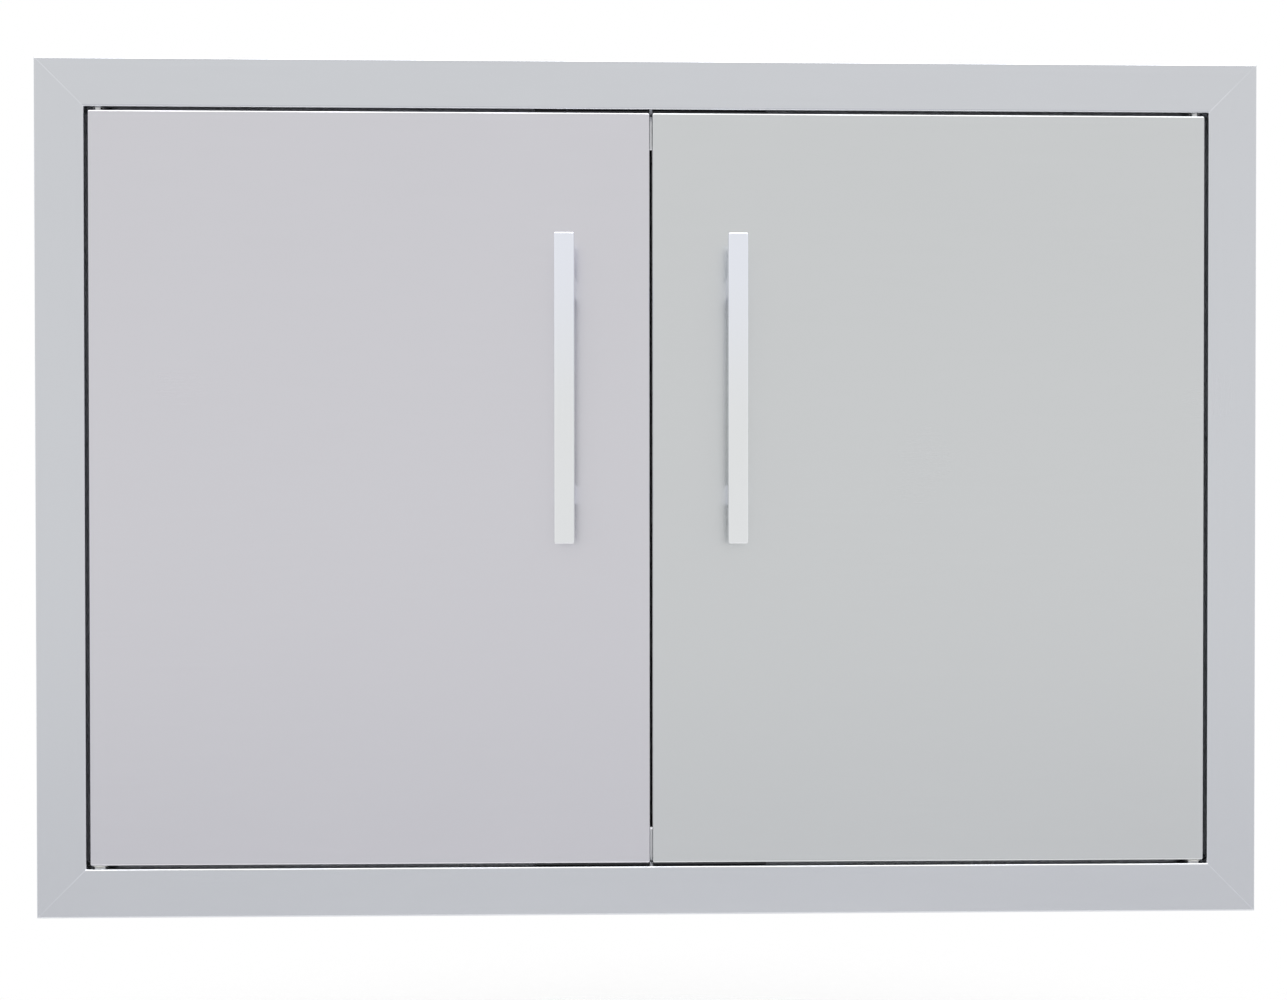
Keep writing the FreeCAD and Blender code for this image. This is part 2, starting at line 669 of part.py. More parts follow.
def pin_spring(side):
    """Coil spring between the collar and the bracket's lower ear, as one unbroken tube."""
    wire = SPRING_WIRE / 2
    radius = PIN_RADIUS + SPRING_CLEARANCE + wire
    low = DOOR_TOP - SKIN_SHEET - NEST_CLEARANCE - BRACKET_HEIGHT + BRACKET_SHEET + wire
    high = collar_top() - COLLAR_HEIGHT - wire
    quarters = 4 * SPRING_TURNS
    rise = (high - low) / quarters
    slope = rise / (math.pi / 2)
    places = []
    tangents = []
    for index in range(quarters + 1):
        angle = index * math.pi / 2
        offset = Vector(radius * math.cos(angle), radius * math.sin(angle), low + rise * index)
        places.append(Vector(side * PIVOT_X, PIVOT_Y, 0) + offset)
        tangents.append(Vector(-radius * math.sin(angle), radius * math.cos(angle), slope).normalize())
    edges = []
    for index in range(quarters):
        edges += biarc(places[index], tangents[index], places[index + 1], tangents[index + 1])
    path = Part.Wire(edges)
    section = Part.Wire(Part.makeCircle(wire, places[0], tangents[0]))
    print("spring: least gap between turns", round(4 * rise - SPRING_WIRE, 2), "mm")
    return path.makePipeShell([section], True, False)


def magnet_strip():
    """Black plastic strip on the leaf's top edge, pegged to it, with a pocket for the magnet."""
    low_z = DOOR_TOP
    high_z = HALF_OPEN_HEIGHT - MAGNET_STRIP_CLEARANCE
    low_y = FRONT + MAGNET_STRIP_SETBACK
    low = Vector(strip_low(), low_y, low_z)
    high = Vector(MAGNET_STRIP_REACH, low_y + MAGNET_STRIP_DEPTH, high_z)
    strip = block(low, high)
    shank = SKIN_SHEET + NEST_CLEARANCE
    for place in peg_places():
        top = Vector(place, strip_middle_y(), low_z)
        strip = strip.fuse(rod(top, -AXIS_Z, PEG / 2, shank))
        head_start = top - AXIS_Z * shank
        strip = strip.fuse(rod(head_start, -AXIS_Z, PEG_HEAD / 2, PEG_HEAD_HEIGHT))
    return strip.cut(magnet_block(MAGNET_POCKET_CLEARANCE)).removeSplitter()


def magnet_block(clearance):
    """Bar magnet under the strip, or the pocket for it with a clearance."""
    middle_x = (strip_low() + MAGNET_STRIP_REACH) / 2
    half = Vector(MAGNET_LENGTH / 2 + clearance, MAGNET_DEPTH / 2 + clearance, 0)
    middle = Vector(middle_x, strip_middle_y(), DOOR_TOP)
    return block(middle - half, middle + half + AXIS_Z * (MAGNET_HEIGHT + clearance))


def strike_plate():
    """Magnetic steel plate on the hidden side of the top sleeve wall, over the strip."""
    low = Vector(strip_low(), FRONT + MAGNET_STRIP_SETBACK, SLEEVE_TOP)
    high = Vector(MAGNET_STRIP_REACH, low.y + MAGNET_STRIP_DEPTH, SLEEVE_TOP + STRIKE_SHEET)
    return block(low, high)


def bumper():
    """Soft round pad stuck on the top stop angle."""
    height = STOP_FRONT - DOOR_BACK - BUMPER_CLEARANCE
    centre = Vector(BUMPER_INSET, STOP_FRONT, HALF_OPEN_HEIGHT - STOP_WIDTH / 2)
    pad = rod(centre, -AXIS_Y, BUMPER / 2, height)
    return chamfered(pad, BUMPER_EDGE, lambda edge: edge.BoundBox.YMax < STOP_FRONT - height / 2)


def four_ways(shape):
    """A top right piece with its copies in the other three quarters."""
    pair = [shape, mirrored(shape)]
    return Part.makeCompound(pair + [upside_down(piece) for piece in pair])


def frame_hardware():
    """Pieces that stay with the frame, apart from its sides."""
    nodes = {
        "magnet_strike_plates": four_ways(strike_plate()),
        "door_bumpers": four_ways(bumper()),
    }
    right = {
        "upper_pivot_plate": pivot_plate(BUSH_RADIUS + PRESS_CLEARANCE),
        "lower_pivot_plate": upside_down(pivot_plate(PIN_RADIUS + PRESS_CLEARANCE)),
        "upper_pivot_bush": upper_bush(),
        "lower_pivot_pin": lower_pin(),
        "thrust_washer": thrust_washer(),
    }
    for name, shape in right.items():
        nodes["right_" + name] = shape
        nodes["left_" + name] = mirrored(shape)
    return nodes


def door_pieces():
    """Pieces of one leaf and of its sliding pin, made for the right and mirrored to the left."""
    strip = magnet_strip()
    magnet = magnet_block(0)
    right = {
        "door_skin": door_skin(),
        "door_liner": door_liner(),
        "handle_bar": handle_bar(),
        "handle_posts": handle_posts(),
        "handle_washers": handle_washers(),
        "handle_screws": handle_screws(),
        "access_plugs": access_plugs(),
        "upper_hinge_bracket": hinge_bracket(BORE_RADIUS, True),
        "lower_hinge_bracket": upside_down(hinge_bracket(BUSH_RADIUS + PRESS_CLEARANCE, False)),
        "lower_hinge_bush": lower_bush(),
        "top_magnet_strip": strip,
        "bottom_magnet_strip": upside_down(strip),
        "door_magnets": Part.makeCompound([magnet, upside_down(magnet)]),
        "hinge_pin": hinge_pin(),
        "release_lever": release_lever(),
        "release_knob": release_knob(),
    }
    nodes = {"right_pin_spring": pin_spring(1), "left_pin_spring": pin_spring(-1)}
    for name, shape in right.items():
        nodes["right_" + name] = shape
        nodes["left_" + name] = mirrored(shape)
    return nodes


def main():
    """Build every node and write one STEP file for each."""
    os.makedirs("parts", exist_ok=True)
    nodes = {}
    nodes.update(frame_sides())
    nodes.update(stop_sides())
    nodes.update(frame_hardware())
    nodes.update(door_pieces())
    for name in sorted(nodes):
        shape = nodes[name]
        shape.exportStep("parts/" + name + ".step")
        print(name, len(shape.Solids), "solids", round(shape.Volume, 1), "mm3", shape.isValid())
    print(len(nodes), "nodes, pin travel", round(PIN_TRAVEL, 2), "mm")


main()
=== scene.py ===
"""Looks of a double access door for an outdoor kitchen island.

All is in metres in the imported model's own frame: X runs right, Y from the viewer into the wall and Z up, from
the middle of the cut-out in the plane of the wall's face. Moving pieces are made with the doors closed and
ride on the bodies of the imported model.
"""
import sys

import json
import logging
import math
from abc import ABC, abstractmethod
from dataclasses import dataclass
from enum import Enum
from typing import Callable, ClassVar, Iterable, Sequence

import bmesh
import bpy
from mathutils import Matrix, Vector


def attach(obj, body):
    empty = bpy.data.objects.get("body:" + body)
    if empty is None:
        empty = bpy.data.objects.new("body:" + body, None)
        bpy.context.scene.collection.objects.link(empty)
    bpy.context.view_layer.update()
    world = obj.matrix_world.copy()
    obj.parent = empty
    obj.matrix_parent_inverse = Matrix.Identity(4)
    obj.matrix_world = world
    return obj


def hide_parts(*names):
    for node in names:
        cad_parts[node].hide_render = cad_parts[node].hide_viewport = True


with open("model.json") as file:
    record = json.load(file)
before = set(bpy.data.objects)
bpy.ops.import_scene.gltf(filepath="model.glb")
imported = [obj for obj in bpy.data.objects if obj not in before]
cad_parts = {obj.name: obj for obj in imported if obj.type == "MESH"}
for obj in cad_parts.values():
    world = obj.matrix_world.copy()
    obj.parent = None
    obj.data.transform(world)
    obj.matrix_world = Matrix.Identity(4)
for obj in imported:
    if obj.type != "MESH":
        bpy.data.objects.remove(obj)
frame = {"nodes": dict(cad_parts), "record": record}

LOG = logging.getLogger("access_door")
IMAGE_WIDTH = 1287.0
SENSOR_WIDTH = 36.0
PLACE_TOLERANCE = 1e-5
SAW_TOLERANCE = 1e-7
QUARTER_TURN = math.pi / 2
DIAGONAL = math.sqrt(0.5)
CREASE_ANGLE = 35.0
FACING = 0.99

Triple = tuple[float, float, float]
Quad = tuple[float, float, float, float]
Span = tuple[float, float]
PairTest = Callable[[Vector, Vector], bool]
Socket = bpy.types.NodeSocket

WHITE = (1.0, 1.0, 1.0)
AS_IS = (1.0, 1.0, 1.0)
AXES = {
    "X": ((1, 0, 0), (0, QUARTER_TURN, 0)),
    "Y": ((0, 1, 0), (-QUARTER_TURN, 0, 0)),
    "Z": ((0, 0, 1), (0, 0, 0)),
}


class Labelled(Enum):
    """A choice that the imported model's names spell out."""

    @property
    def label(self) -> str:
        """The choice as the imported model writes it."""
        return self.name.lower()


class Side(Labelled):
    """Left or right hand leaf, as the sign of its X."""

    LEFT = -1
    RIGHT = 1


class Rim(Labelled):
    """One side of a rectangular surround, as degrees about Y from the right hand side."""

    RIGHT_STILE = 0.0
    TOP_RAIL = -90.0
    LEFT_STILE = 180.0
    BOTTOM_RAIL = 90.0

    @property
    def upright(self) -> bool:
        """Whether this side stands upright."""
        return self in (Rim.RIGHT_STILE, Rim.LEFT_STILE)


class Grain(Enum):
    """Direction of the brushing, as the share of the cross scale on X, Y and Z."""

    UPRIGHT = (1.0, 1.0, 0.0)
    LEVEL = (0.0, 1.0, 1.0)


@dataclass(frozen=True)
class Round:
    """Radius of a rounded edge and the number of faces across it."""

    radius: float
    faces: int


# Modelling

def deselect_everything() -> None:
    """Leave edit mode and clear the selection."""
    if bpy.context.mode != "OBJECT":
        bpy.ops.object.mode_set(mode="OBJECT")
    bpy.ops.object.select_all(action="DESELECT")


class Workpiece:
    """One mesh piece, shaped with the operators of edit mode and finished with applied modifiers."""

    def __init__(self, piece: bpy.types.Object) -> None:
        """Take a mesh object as the piece to work on."""
        self.piece = piece

    @classmethod
    def block(cls, name: str, low: Sequence[float], high: Sequence[float]) -> "Workpiece":
        """Start from a cube stretched between its lowest and its highest corner."""
        middle = (Vector(low) + Vector(high)) / 2
        return cls._started(bpy.ops.mesh.primitive_cube_add, name, middle, Vector(high) - Vector(low),
                            size=1.0)

    @classmethod
    def sheet(cls, name: str, low: Sequence[float], high: Sequence[float]) -> "Workpiece":
        """Start from a plane that faces the viewer.

        Args:
            name: Name of the piece.
            low: Lower left corner.
            high: Upper right corner, at the same depth.

        Returns:
            The new workpiece.
        """
        middle = (Vector(low) + Vector(high)) / 2
        width, _, height = Vector(high) - Vector(low)
        return cls._started(bpy.ops.mesh.primitive_plane_add, name, middle, (width, height, 1.0),
                            size=1.0, rotation=(QUARTER_TURN, 0, 0))

    @classmethod
    def bar(cls, name: str, base: Sequence[float], axis: str, radius: float, length: float,
            sides: int = 32) -> "Workpiece":
        """Start from a cylinder that runs along X, Y or Z.

        Args:
            name: Name of the piece.
            base: Middle of its first end.
            axis: X, Y or Z.
            radius: Its radius.
            length: Its length along the axis.
            sides: Number of side faces.

        Returns:
            The new workpiece.
        """
        along, turn = AXES[axis]
        middle = Vector(base) + Vector(along) * (length / 2)
        return cls._started(bpy.ops.mesh.primitive_cylinder_add, name, middle, AS_IS, vertices=sides,
                            radius=radius, depth=length, rotation=turn)

    @classmethod
    def _started(cls, add: Callable[..., object], name: str, middle: Vector, scale: Sequence[float],
                 **settings: object) -> "Workpiece":
        """Add a primitive and move its place and size into its mesh.

        Args:
            add: Operator that adds it.
            name: Name of the piece.
            middle: Its middle.
            scale: Scale along its own axes.
            **settings: Settings of the operator.

        Returns:
            The new workpiece.
        """
        deselect_everything()
        add(location=middle, **settings)
        piece = bpy.context.active_object
        piece.name = name
        piece.data.name = name
        piece.scale = scale
        bpy.ops.object.transform_apply(location=True, rotation=True, scale=True)
        return cls(piece)

    def take_up(self) -> None:
        """Make this the only selected and the active object."""
        deselect_everything()
        self.piece.select_set(True)
        bpy.context.view_layer.objects.active = self.piece

    def _edit(self, mode: str) -> bmesh.types.BMesh:
        """Enter edit mode with nothing selected.

        Args:
            mode: EDGE or FACE.

        Returns:
            The edited mesh.
        """
        self.take_up()
        bpy.ops.object.mode_set(mode="EDIT")
        bpy.ops.mesh.select_mode(type=mode)
        bpy.ops.mesh.select_all(action="DESELECT")
        return bmesh.from_edit_mesh(self.piece.data)

    def _select(self, parts: Iterable[bmesh.types.BMEdge | bmesh.types.BMFace]) -> "Workpiece":
        """Select edges or faces of the edited mesh.

        Args:
            parts: What to select.

        Returns:
            The workpiece.
        """
        for part in parts:
            part.select_set(True)
        bmesh.update_edit_mesh(self.piece.data)
        return self

    def pick_edges(self, wanted: PairTest) -> "Workpiece":
        """Select the edges whose two end places pass a test, and stay in edit mode."""
        mesh = self._edit("EDGE")
        return self._select(edge for edge in mesh.edges if wanted(edge.verts[0].co, edge.verts[1].co))

    def pick_faces(self, wanted: PairTest) -> "Workpiece":
        """Select the faces whose middle and normal pass a test, and stay in edit mode."""
        mesh = self._edit("FACE")
        return self._select(face for face in mesh.faces if wanted(face.calc_center_median(), face.normal))

    def extrude(self, offset: Triple) -> "Workpiece":
        """Extrude the selection by an offset."""
        bpy.ops.mesh.extrude_region_move(TRANSFORM_OT_translate={"value": offset})
        return self

    def bevel(self, edge: Round) -> "Workpiece":
        """Round the selected edges."""
        bpy.ops.mesh.bevel(offset_type="OFFSET", offset=edge.radius, segments=edge.faces, profile=0.5,
                           affect="EDGES", clamp_overlap=True, loop_slide=True)
        return self

    def inset(self, thickness: float, depth: float = 0.0, each: bool = False) -> "Workpiece":
        """Inset the selected faces by a border and a depth, together or each by itself."""
        bpy.ops.mesh.inset(thickness=thickness, depth=depth, use_individual=each)
        return self

    def drop_faces(self) -> "Workpiece":
        """Delete the selected faces."""
        bpy.ops.mesh.delete(type="FACE")
        return self

    def cut_off(self, place: Triple, normal: Triple) -> "Workpiece":
        """Saw the piece along a plane, close the cut and drop what lies beyond it.

        Args:
            place: A point of the plane.
            normal: The direction towards the part that goes.

        Returns:
            The workpiece.
        """
        self._edit("FACE")
        bpy.ops.mesh.select_all(action="SELECT")
        bpy.ops.mesh.bisect(plane_co=place, plane_no=normal, use_fill=True, clear_outer=True,
                            threshold=SAW_TOLERANCE)
        return self

    def apply(self, kind: str, **settings: object) -> "Workpiece":
        """Add a modifier and apply it.

        Args:
            kind: The modifier's type.
            **settings: Its settings by name.

        Returns:
            The workpiece.
        """
        self.take_up()
        modifier = self.piece.modifiers.new(kind.title(), kind)
        for setting, value in settings.items():
            setattr(modifier, setting, value)
        bpy.ops.object.modifier_apply(modifier=modifier.name)
        return self

    def thicken(self, thickness: float, offset: float) -> "Workpiece":
        """Give a surface the thickness of its sheet, both ways with offset 0 and inwards with -1."""
        return self.apply("SOLIDIFY", thickness=thickness, offset=offset, use_even_offset=True)

    def cut(self, cutters: Iterable["Workpiece"]) -> "Workpiece":
        """Cut holes in the shape of other workpieces, which are used up.

        Args:
            cutters: The shapes to take away.

        Returns:
            The workpiece.
        """
        for cutter in cutters:
            self.apply("BOOLEAN", operation="DIFFERENCE", object=cutter.piece, solver="EXACT")
            cutter.discard()
        return self

    def discard(self) -> None:
        """Remove a piece that is used up."""
        bpy.data.objects.remove(self.piece, do_unlink=True)

    def copied(self, name: str, turn: float = 0.0, flip: Triple = AS_IS) -> "Workpiece":
        """Copy the piece with its own mesh, turned about Y or mirrored, with its faces still outwards.

        Args:
            name: Name of the copy.
            turn: Degrees about Y through the origin.
            flip: Scale along each axis, -1 to mirror.

        Returns:
            The copy.
        """
        self.take_up()
        bpy.ops.object.duplicate(linked=False)
        twin = bpy.context.active_object
        twin.name = name
        twin.data.name = name
        twin.rotation_euler = (0.0, math.radians(turn), 0.0)
        twin.scale = flip
        bpy.ops.object.transform_apply(location=True, rotation=True, scale=True)
        copy = Workpiece(twin)
        copy.face_outwards()
        return copy

    def face_outwards(self) -> None:
        """Turn all faces over if the closed piece is inside out."""
        mesh = bmesh.new()
        mesh.from_mesh(self.piece.data)
        inside_out = mesh.calc_volume(signed=True) < 0
        mesh.free()
        if inside_out:
            self._edit("FACE")
            bpy.ops.mesh.select_all(action="SELECT")
            bpy.ops.mesh.flip_normals()
            deselect_everything()

    def smooth(self, angle: float = CREASE_ANGLE) -> "Workpiece":
        """Shade the rounds smooth and keep the flats flat.

        Args:
            angle: Edges sharper than this many degrees stay sharp.

        Returns:
            The workpiece.
        """
        self.take_up()
        bpy.ops.object.shade_smooth_by_angle(angle=math.radians(angle))
        return self.apply("WEIGHTED_NORMAL", mode="FACE_AREA", weight=50, keep_sharp=True)

    def hand_over(self, finish: bpy.types.Material, body: str, slot: str, node: str) -> None:
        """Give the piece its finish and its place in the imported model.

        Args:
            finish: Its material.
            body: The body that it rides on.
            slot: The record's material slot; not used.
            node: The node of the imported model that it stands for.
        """
        deselect_everything()
        self.piece.data.materials.clear()
        self.piece.data.materials.append(finish)
        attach(self.piece, body)
        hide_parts(node)
        LOG.info("%s: %d faces, rides on %s", self.piece.name, len(self.piece.data.polygons), body)


def within_tolerance(*offs: float) -> bool:
    """Say whether these differences are all within the tolerance."""
    return all(abs(off) < PLACE_TOLERANCE for off in offs)


def upright_edge_at(x: float, y: float) -> PairTest:
    """Make a test for edges that run along Z at this X and Y."""
    return lambda first, last: within_tolerance(first.x - x, last.x - x, first.y - y, last.y - y)


def edge_off_depth(y: float) -> PairTest:
    """Make a test for edges that don't lie in the plane at this Y."""
    return lambda first, last: not within_tolerance(first.y - y, last.y - y)


def edge_in_plane(axis: str, place: float) -> PairTest:
    """Make a test for edges that lie in a plane across an axis."""
    return lambda first, last: within_tolerance(getattr(first, axis) - place, getattr(last, axis) - place)


def runs_along(axis: str, reach: float) -> PairTest:
    """Make a test for edges that reach further than this along an axis."""
    return lambda first, last: abs(getattr(first, axis) - getattr(last, axis)) > reach


# Shader nodes

class NodeBench:
    """Places and joins the nodes of one node tree."""

    def __init__(self, tree: bpy.types.NodeTree) -> None:
        """Take a material's, world's or group's tree to work in."""
        self.tree = tree

    def place(self, kind: str, feeds: dict[str | int, object] | None = None,
              **settings: object) -> bpy.types.Node:
        """Add a node.

        Args:
            kind: The node's type.
            feeds: What goes to its inputs, by their name or number.
            **settings: Its settings by name.

        Returns:
            The node.
        """
        node = self.tree.nodes.new(kind)
        for setting, value in settings.items():
            setattr(node, setting, value)
        for name, value in (feeds or {}).items():
            self.feed(node.inputs[name], value)
        return node

    def feed(self, socket: Socket, value: object) -> None:
        """Join an output to a socket, or set the socket.

        Args:
            socket: The input to feed.
            value: An output socket or a plain value.
        """
        if isinstance(value, Socket):
            self.tree.links.new(value, socket)
        else:
            socket.default_value = value

    def math(self, operation: str, *values: object, clamp: bool = False) -> Socket:
        """Work out a value from others, kept between 0 and 1 where it is clamped."""
        return self.place("ShaderNodeMath", dict(enumerate(values)), operation=operation,
                          use_clamp=clamp).outputs[0]

    def add_share(self, value: object, mask: Socket, share: float, clamp: bool = False) -> Socket:
        """Add a share of a mask to a value."""
        return self.math("ADD", value, self.math("MULTIPLY", mask, share), clamp=clamp)

    def spread(self, value: object, low: float, high: float, new_low: float = 0.0,
               new_high: float = 1.0) -> Socket:
        """Map a value smoothly from one range to another.

        Args:
            value: The value to map.
            low: Value that gives new_low.
            high: Value that gives new_high.
            new_low: First result.
            new_high: Last result.

        Returns:
            The mapped value.
        """
        feeds = {"Value": value, "From Min": low, "From Max": high, "To Min": new_low, "To Max": new_high}
        return self.place("ShaderNodeMapRange", feeds, interpolation_type="SMOOTHSTEP").outputs["Result"]

    def blend(self, factor: object, first: object, second: object) -> Socket:
        """Mix two colours by the share of the second."""
        return self.place("ShaderNodeMix", {0: factor, 6: first, 7: second}, data_type="RGBA").outputs[2]

    def noise(self, where: Socket, scale: float, detail: float = 2.0) -> Socket:
        """Make noise about 0.5 with this many features per metre and layers of detail."""
        feeds = {"Vector": where, "Scale": scale, "Detail": detail}
        return self.place("ShaderNodeTexNoise", feeds).outputs[0]

    def part(self, vector: Socket, axis: str) -> Socket:
        """Take the X, Y or Z of a vector."""
        return self.place("ShaderNodeSeparateXYZ", {0: vector}).outputs[axis]

    def use(self, group: bpy.types.NodeTree, **feeds: object) -> bpy.types.bpy_prop_collection:
        """Place a node group, feed its inputs by name and give its outputs."""
        return self.place("ShaderNodeGroup", feeds, node_tree=group).outputs


def colour4(colour: Triple) -> Quad:
    """Add full alpha to a colour."""
    return (*colour, 1.0)


@dataclass
class SurfaceEffects:
    """Node groups that the finishes share, each built once."""

    fine_share: float = 0.88
    broad_scale: float = 0.21
    line_span: Span = (0.3, 0.7)
    edge_radius: float = 0.0007
    edge_samples: int = 4
    edge_turn: Span = (1.0, 0.86)
    patch_scale: float = 60.0
    patch_spans: Quad = (0.3, 0.65, 0.35, 1.0)
    blotch_span: Span = (0.35, 0.75)
    upward: Span = (0.75, 1.0)
    speck_scale: float = 900.0
    speck_span: Span = (0.42, 0.66)
    drift_scale: float = 14.0
    drift_spans: Quad = (0.35, 0.7, 0.3, 1.0)
    pit_scale: float = 3200.0
    pit_share: float = 0.5
    pit_span: Span = (0.25, 0.7)
    grain_scale: float = 5200.0

    def __post_init__(self) -> None:
        """Build every group."""
        self._make_brushing()
        self._make_polished_edges()
        self._make_handling()
        self._make_settled_dust()
        self._make_moulded_skin()

    @staticmethod
    def _group(name: str, values: Sequence[str], results: Sequence[str]
               ) -> tuple[NodeBench, bpy.types.bpy_prop_collection, bpy.types.bpy_prop_collection]:
        """Start a group that takes a vector and some values and puts out values.

        Args:
            name: Name of the group.
            values: Names of its value inputs.
            results: Names of its outputs.

        Returns:
            Its bench, what it is given and what it puts out.
        """
        tree = bpy.data.node_groups.new(name, "ShaderNodeTree")
        tree.interface.new_socket(name="Vector", in_out="INPUT", socket_type="NodeSocketVector")
        for label in values:
            tree.interface.new_socket(name=label, in_out="INPUT", socket_type="NodeSocketFloat")
        for label in results:
            tree.interface.new_socket(name=label, in_out="OUTPUT", socket_type="NodeSocketFloat")
        bench = NodeBench(tree)
        return bench, bench.place("NodeGroupInput").outputs, bench.place("NodeGroupOutput").inputs

    def _make_brushing(self) -> None:
        """Make the long fine lines of a brushed sheet, as a mask about 0.5 and a height."""
        bench, given, made = self._group("brushing_lines", (), ("Mask", "Height"))
        fine = bench.noise(given["Vector"], 1.0, 3.0)
        broad = bench.noise(given["Vector"], self.broad_scale)
        lines = bench.add_share(bench.math("MULTIPLY", fine, self.fine_share), broad, 1.0 - self.fine_share)
        bench.feed(made["Mask"], bench.spread(lines, *self.line_span))
        bench.feed(made["Height"], lines)
        self.brushing = bench.tree

    def _make_polished_edges(self) -> None:
        """Make the edges brighter, partly wear that handling has rubbed in and partly a painted highlight along
        the bends, as a mask that is 1 on edges and corners.
        """
        bench, given, made = self._group("rubbed_edges", ("Amount",), ("Mask",))
        rounded = bench.place("ShaderNodeBevel", {"Radius": self.edge_radius}, samples=self.edge_samples)
        surface = bench.place("ShaderNodeNewGeometry")
        normals = {0: rounded.outputs["Normal"], 1: surface.outputs["True Normal"]}
        agreement = bench.place("ShaderNodeVectorMath", normals, operation="DOT_PRODUCT")
        edge = bench.spread(agreement.outputs["Value"], *self.edge_turn)
        patches = bench.spread(bench.noise(given["Vector"], self.patch_scale, 3.0), *self.patch_spans)
        mask = bench.math("MULTIPLY", edge, patches)
        bench.feed(made["Mask"], bench.math("MULTIPLY", mask, given["Amount"], clamp=True))
        self.polished_edges = bench.tree

    def _make_handling(self) -> None:
        """Make the soft blotches that wiping and fingers leave, as a mask from 0 to 1."""
        bench, given, made = self._group("wiping_marks", ("Size",), ("Mask",))
        feeds = {0: given["Vector"], "Scale": bench.math("DIVIDE", 1.0, given["Size"])}
        scaled = bench.place("ShaderNodeVectorMath", feeds, operation="SCALE")
        blotches = bench.noise(scaled.outputs[0], 1.0, 4.0)
        bench.feed(made["Mask"], bench.spread(blotches, *self.blotch_span))
        self.handling = bench.tree

    def _make_settled_dust(self) -> None:
        """Make the fine dust on what faces up, as a mask from 0 to 1."""
        bench, given, made = self._group("settled_dust", ("Amount",), ("Mask",))
        surface = bench.place("ShaderNodeNewGeometry")
        upward = bench.spread(bench.part(surface.outputs["Normal"], "Z"), *self.upward)
        specks = bench.spread(bench.noise(given["Vector"], self.speck_scale, 3.0), *self.speck_span)
        drifts = bench.spread(bench.noise(given["Vector"], self.drift_scale), *self.drift_spans)
        mask = bench.math("MULTIPLY", bench.math("MULTIPLY", specks, drifts), upward)
        bench.feed(made["Mask"], bench.math("MULTIPLY", mask, given["Amount"], clamp=True))
        self.settled_dust = bench.tree

    def _make_moulded_skin(self) -> None:
        """Make the fine spark-eroded skin of a moulded part, as a mask about 0.5 and a height."""
        bench, given, made = self._group("moulded_skin", (), ("Mask", "Height"))
        feeds = {"Vector": given["Vector"], "Scale": self.pit_scale}
        pits = bench.place("ShaderNodeTexVoronoi", feeds, feature="SMOOTH_F1").outputs["Distance"]
        grains = bench.noise(given["Vector"], self.grain_scale)
        skin = bench.add_share(bench.math("MULTIPLY", pits, self.pit_share), grains, 1.0 - self.pit_share)
        bench.feed(made["Mask"], bench.spread(skin, *self.pit_span))
        bench.feed(made["Height"], skin)
        self.moulded_skin = bench.tree


class MaterialBench(NodeBench):
    """The nodes of a new material, which starts with a Principled shader and Object coordinates."""

    def __init__(self, name: str) -> None:
        """Start the material.

        Args:
            name: Name of the material.
        """
        self.material = bpy.data.materials.new("dressed_" + name)
        self.material.use_nodes = True
        self.material.node_tree.nodes.clear()
        super().__init__(self.material.node_tree)
        self.shader = self.place("ShaderNodeBsdfPrincipled")
        self.output = self.place("ShaderNodeOutputMaterial", {"Surface": self.shader.outputs["BSDF"]})
        self.where = self.place("ShaderNodeTexCoord").outputs["Object"]

    def mask(self, group: bpy.types.NodeTree, **feeds: float) -> Socket:
        """Place a node group on the Object coordinates and give its mask."""
        return self.use(group, Vector=self.where, **feeds)["Mask"]

    def set(self, **feeds: object) -> None:
        """Feed inputs of the shader, named with _ for spaces."""
        for name, value in feeds.items():
            self.feed(self.shader.inputs[name.replace("_", " ")], value)

    def show_mix(self, share: Socket, first: Socket, second: Socket) -> None:
        """Show a mix of two shaders by the share of the second."""
        mix = self.place("ShaderNodeMixShader", {0: share, 1: first, 2: second})
        self.feed(self.output.inputs["Surface"], mix.outputs[0])

    def bump(self, height: Socket, strength: float, distance: float) -> None:
        """Bump the surface by a height."""
        feeds = {"Strength": strength, "Distance": distance, "Height": height}
        self.set(Normal=self.place("ShaderNodeBump", feeds).outputs["Normal"])


@dataclass(frozen=True)
class Finish(ABC):
    """A finish with its name and its colour."""

    name: str
    colour: Triple

    def toned(self, factor: float, colour: Triple | None = None) -> Quad:
        """Give the finish's own or another colour, made brighter or darker by a factor."""
        return colour4(tuple(min(1.0, part * factor) for part in colour or self.colour))

    @abstractmethod
    def shade(self, bench: MaterialBench, effects: SurfaceEffects) -> None:
        """Place the finish's nodes with the shared groups."""

    def material(self, effects: SurfaceEffects) -> bpy.types.Material:
        """Build the material.

        Args:
            effects: The shared node groups.

        Returns:
            The material.
        """
        bench = MaterialBench(self.name)
        self.shade(bench, effects)
        return bench.material


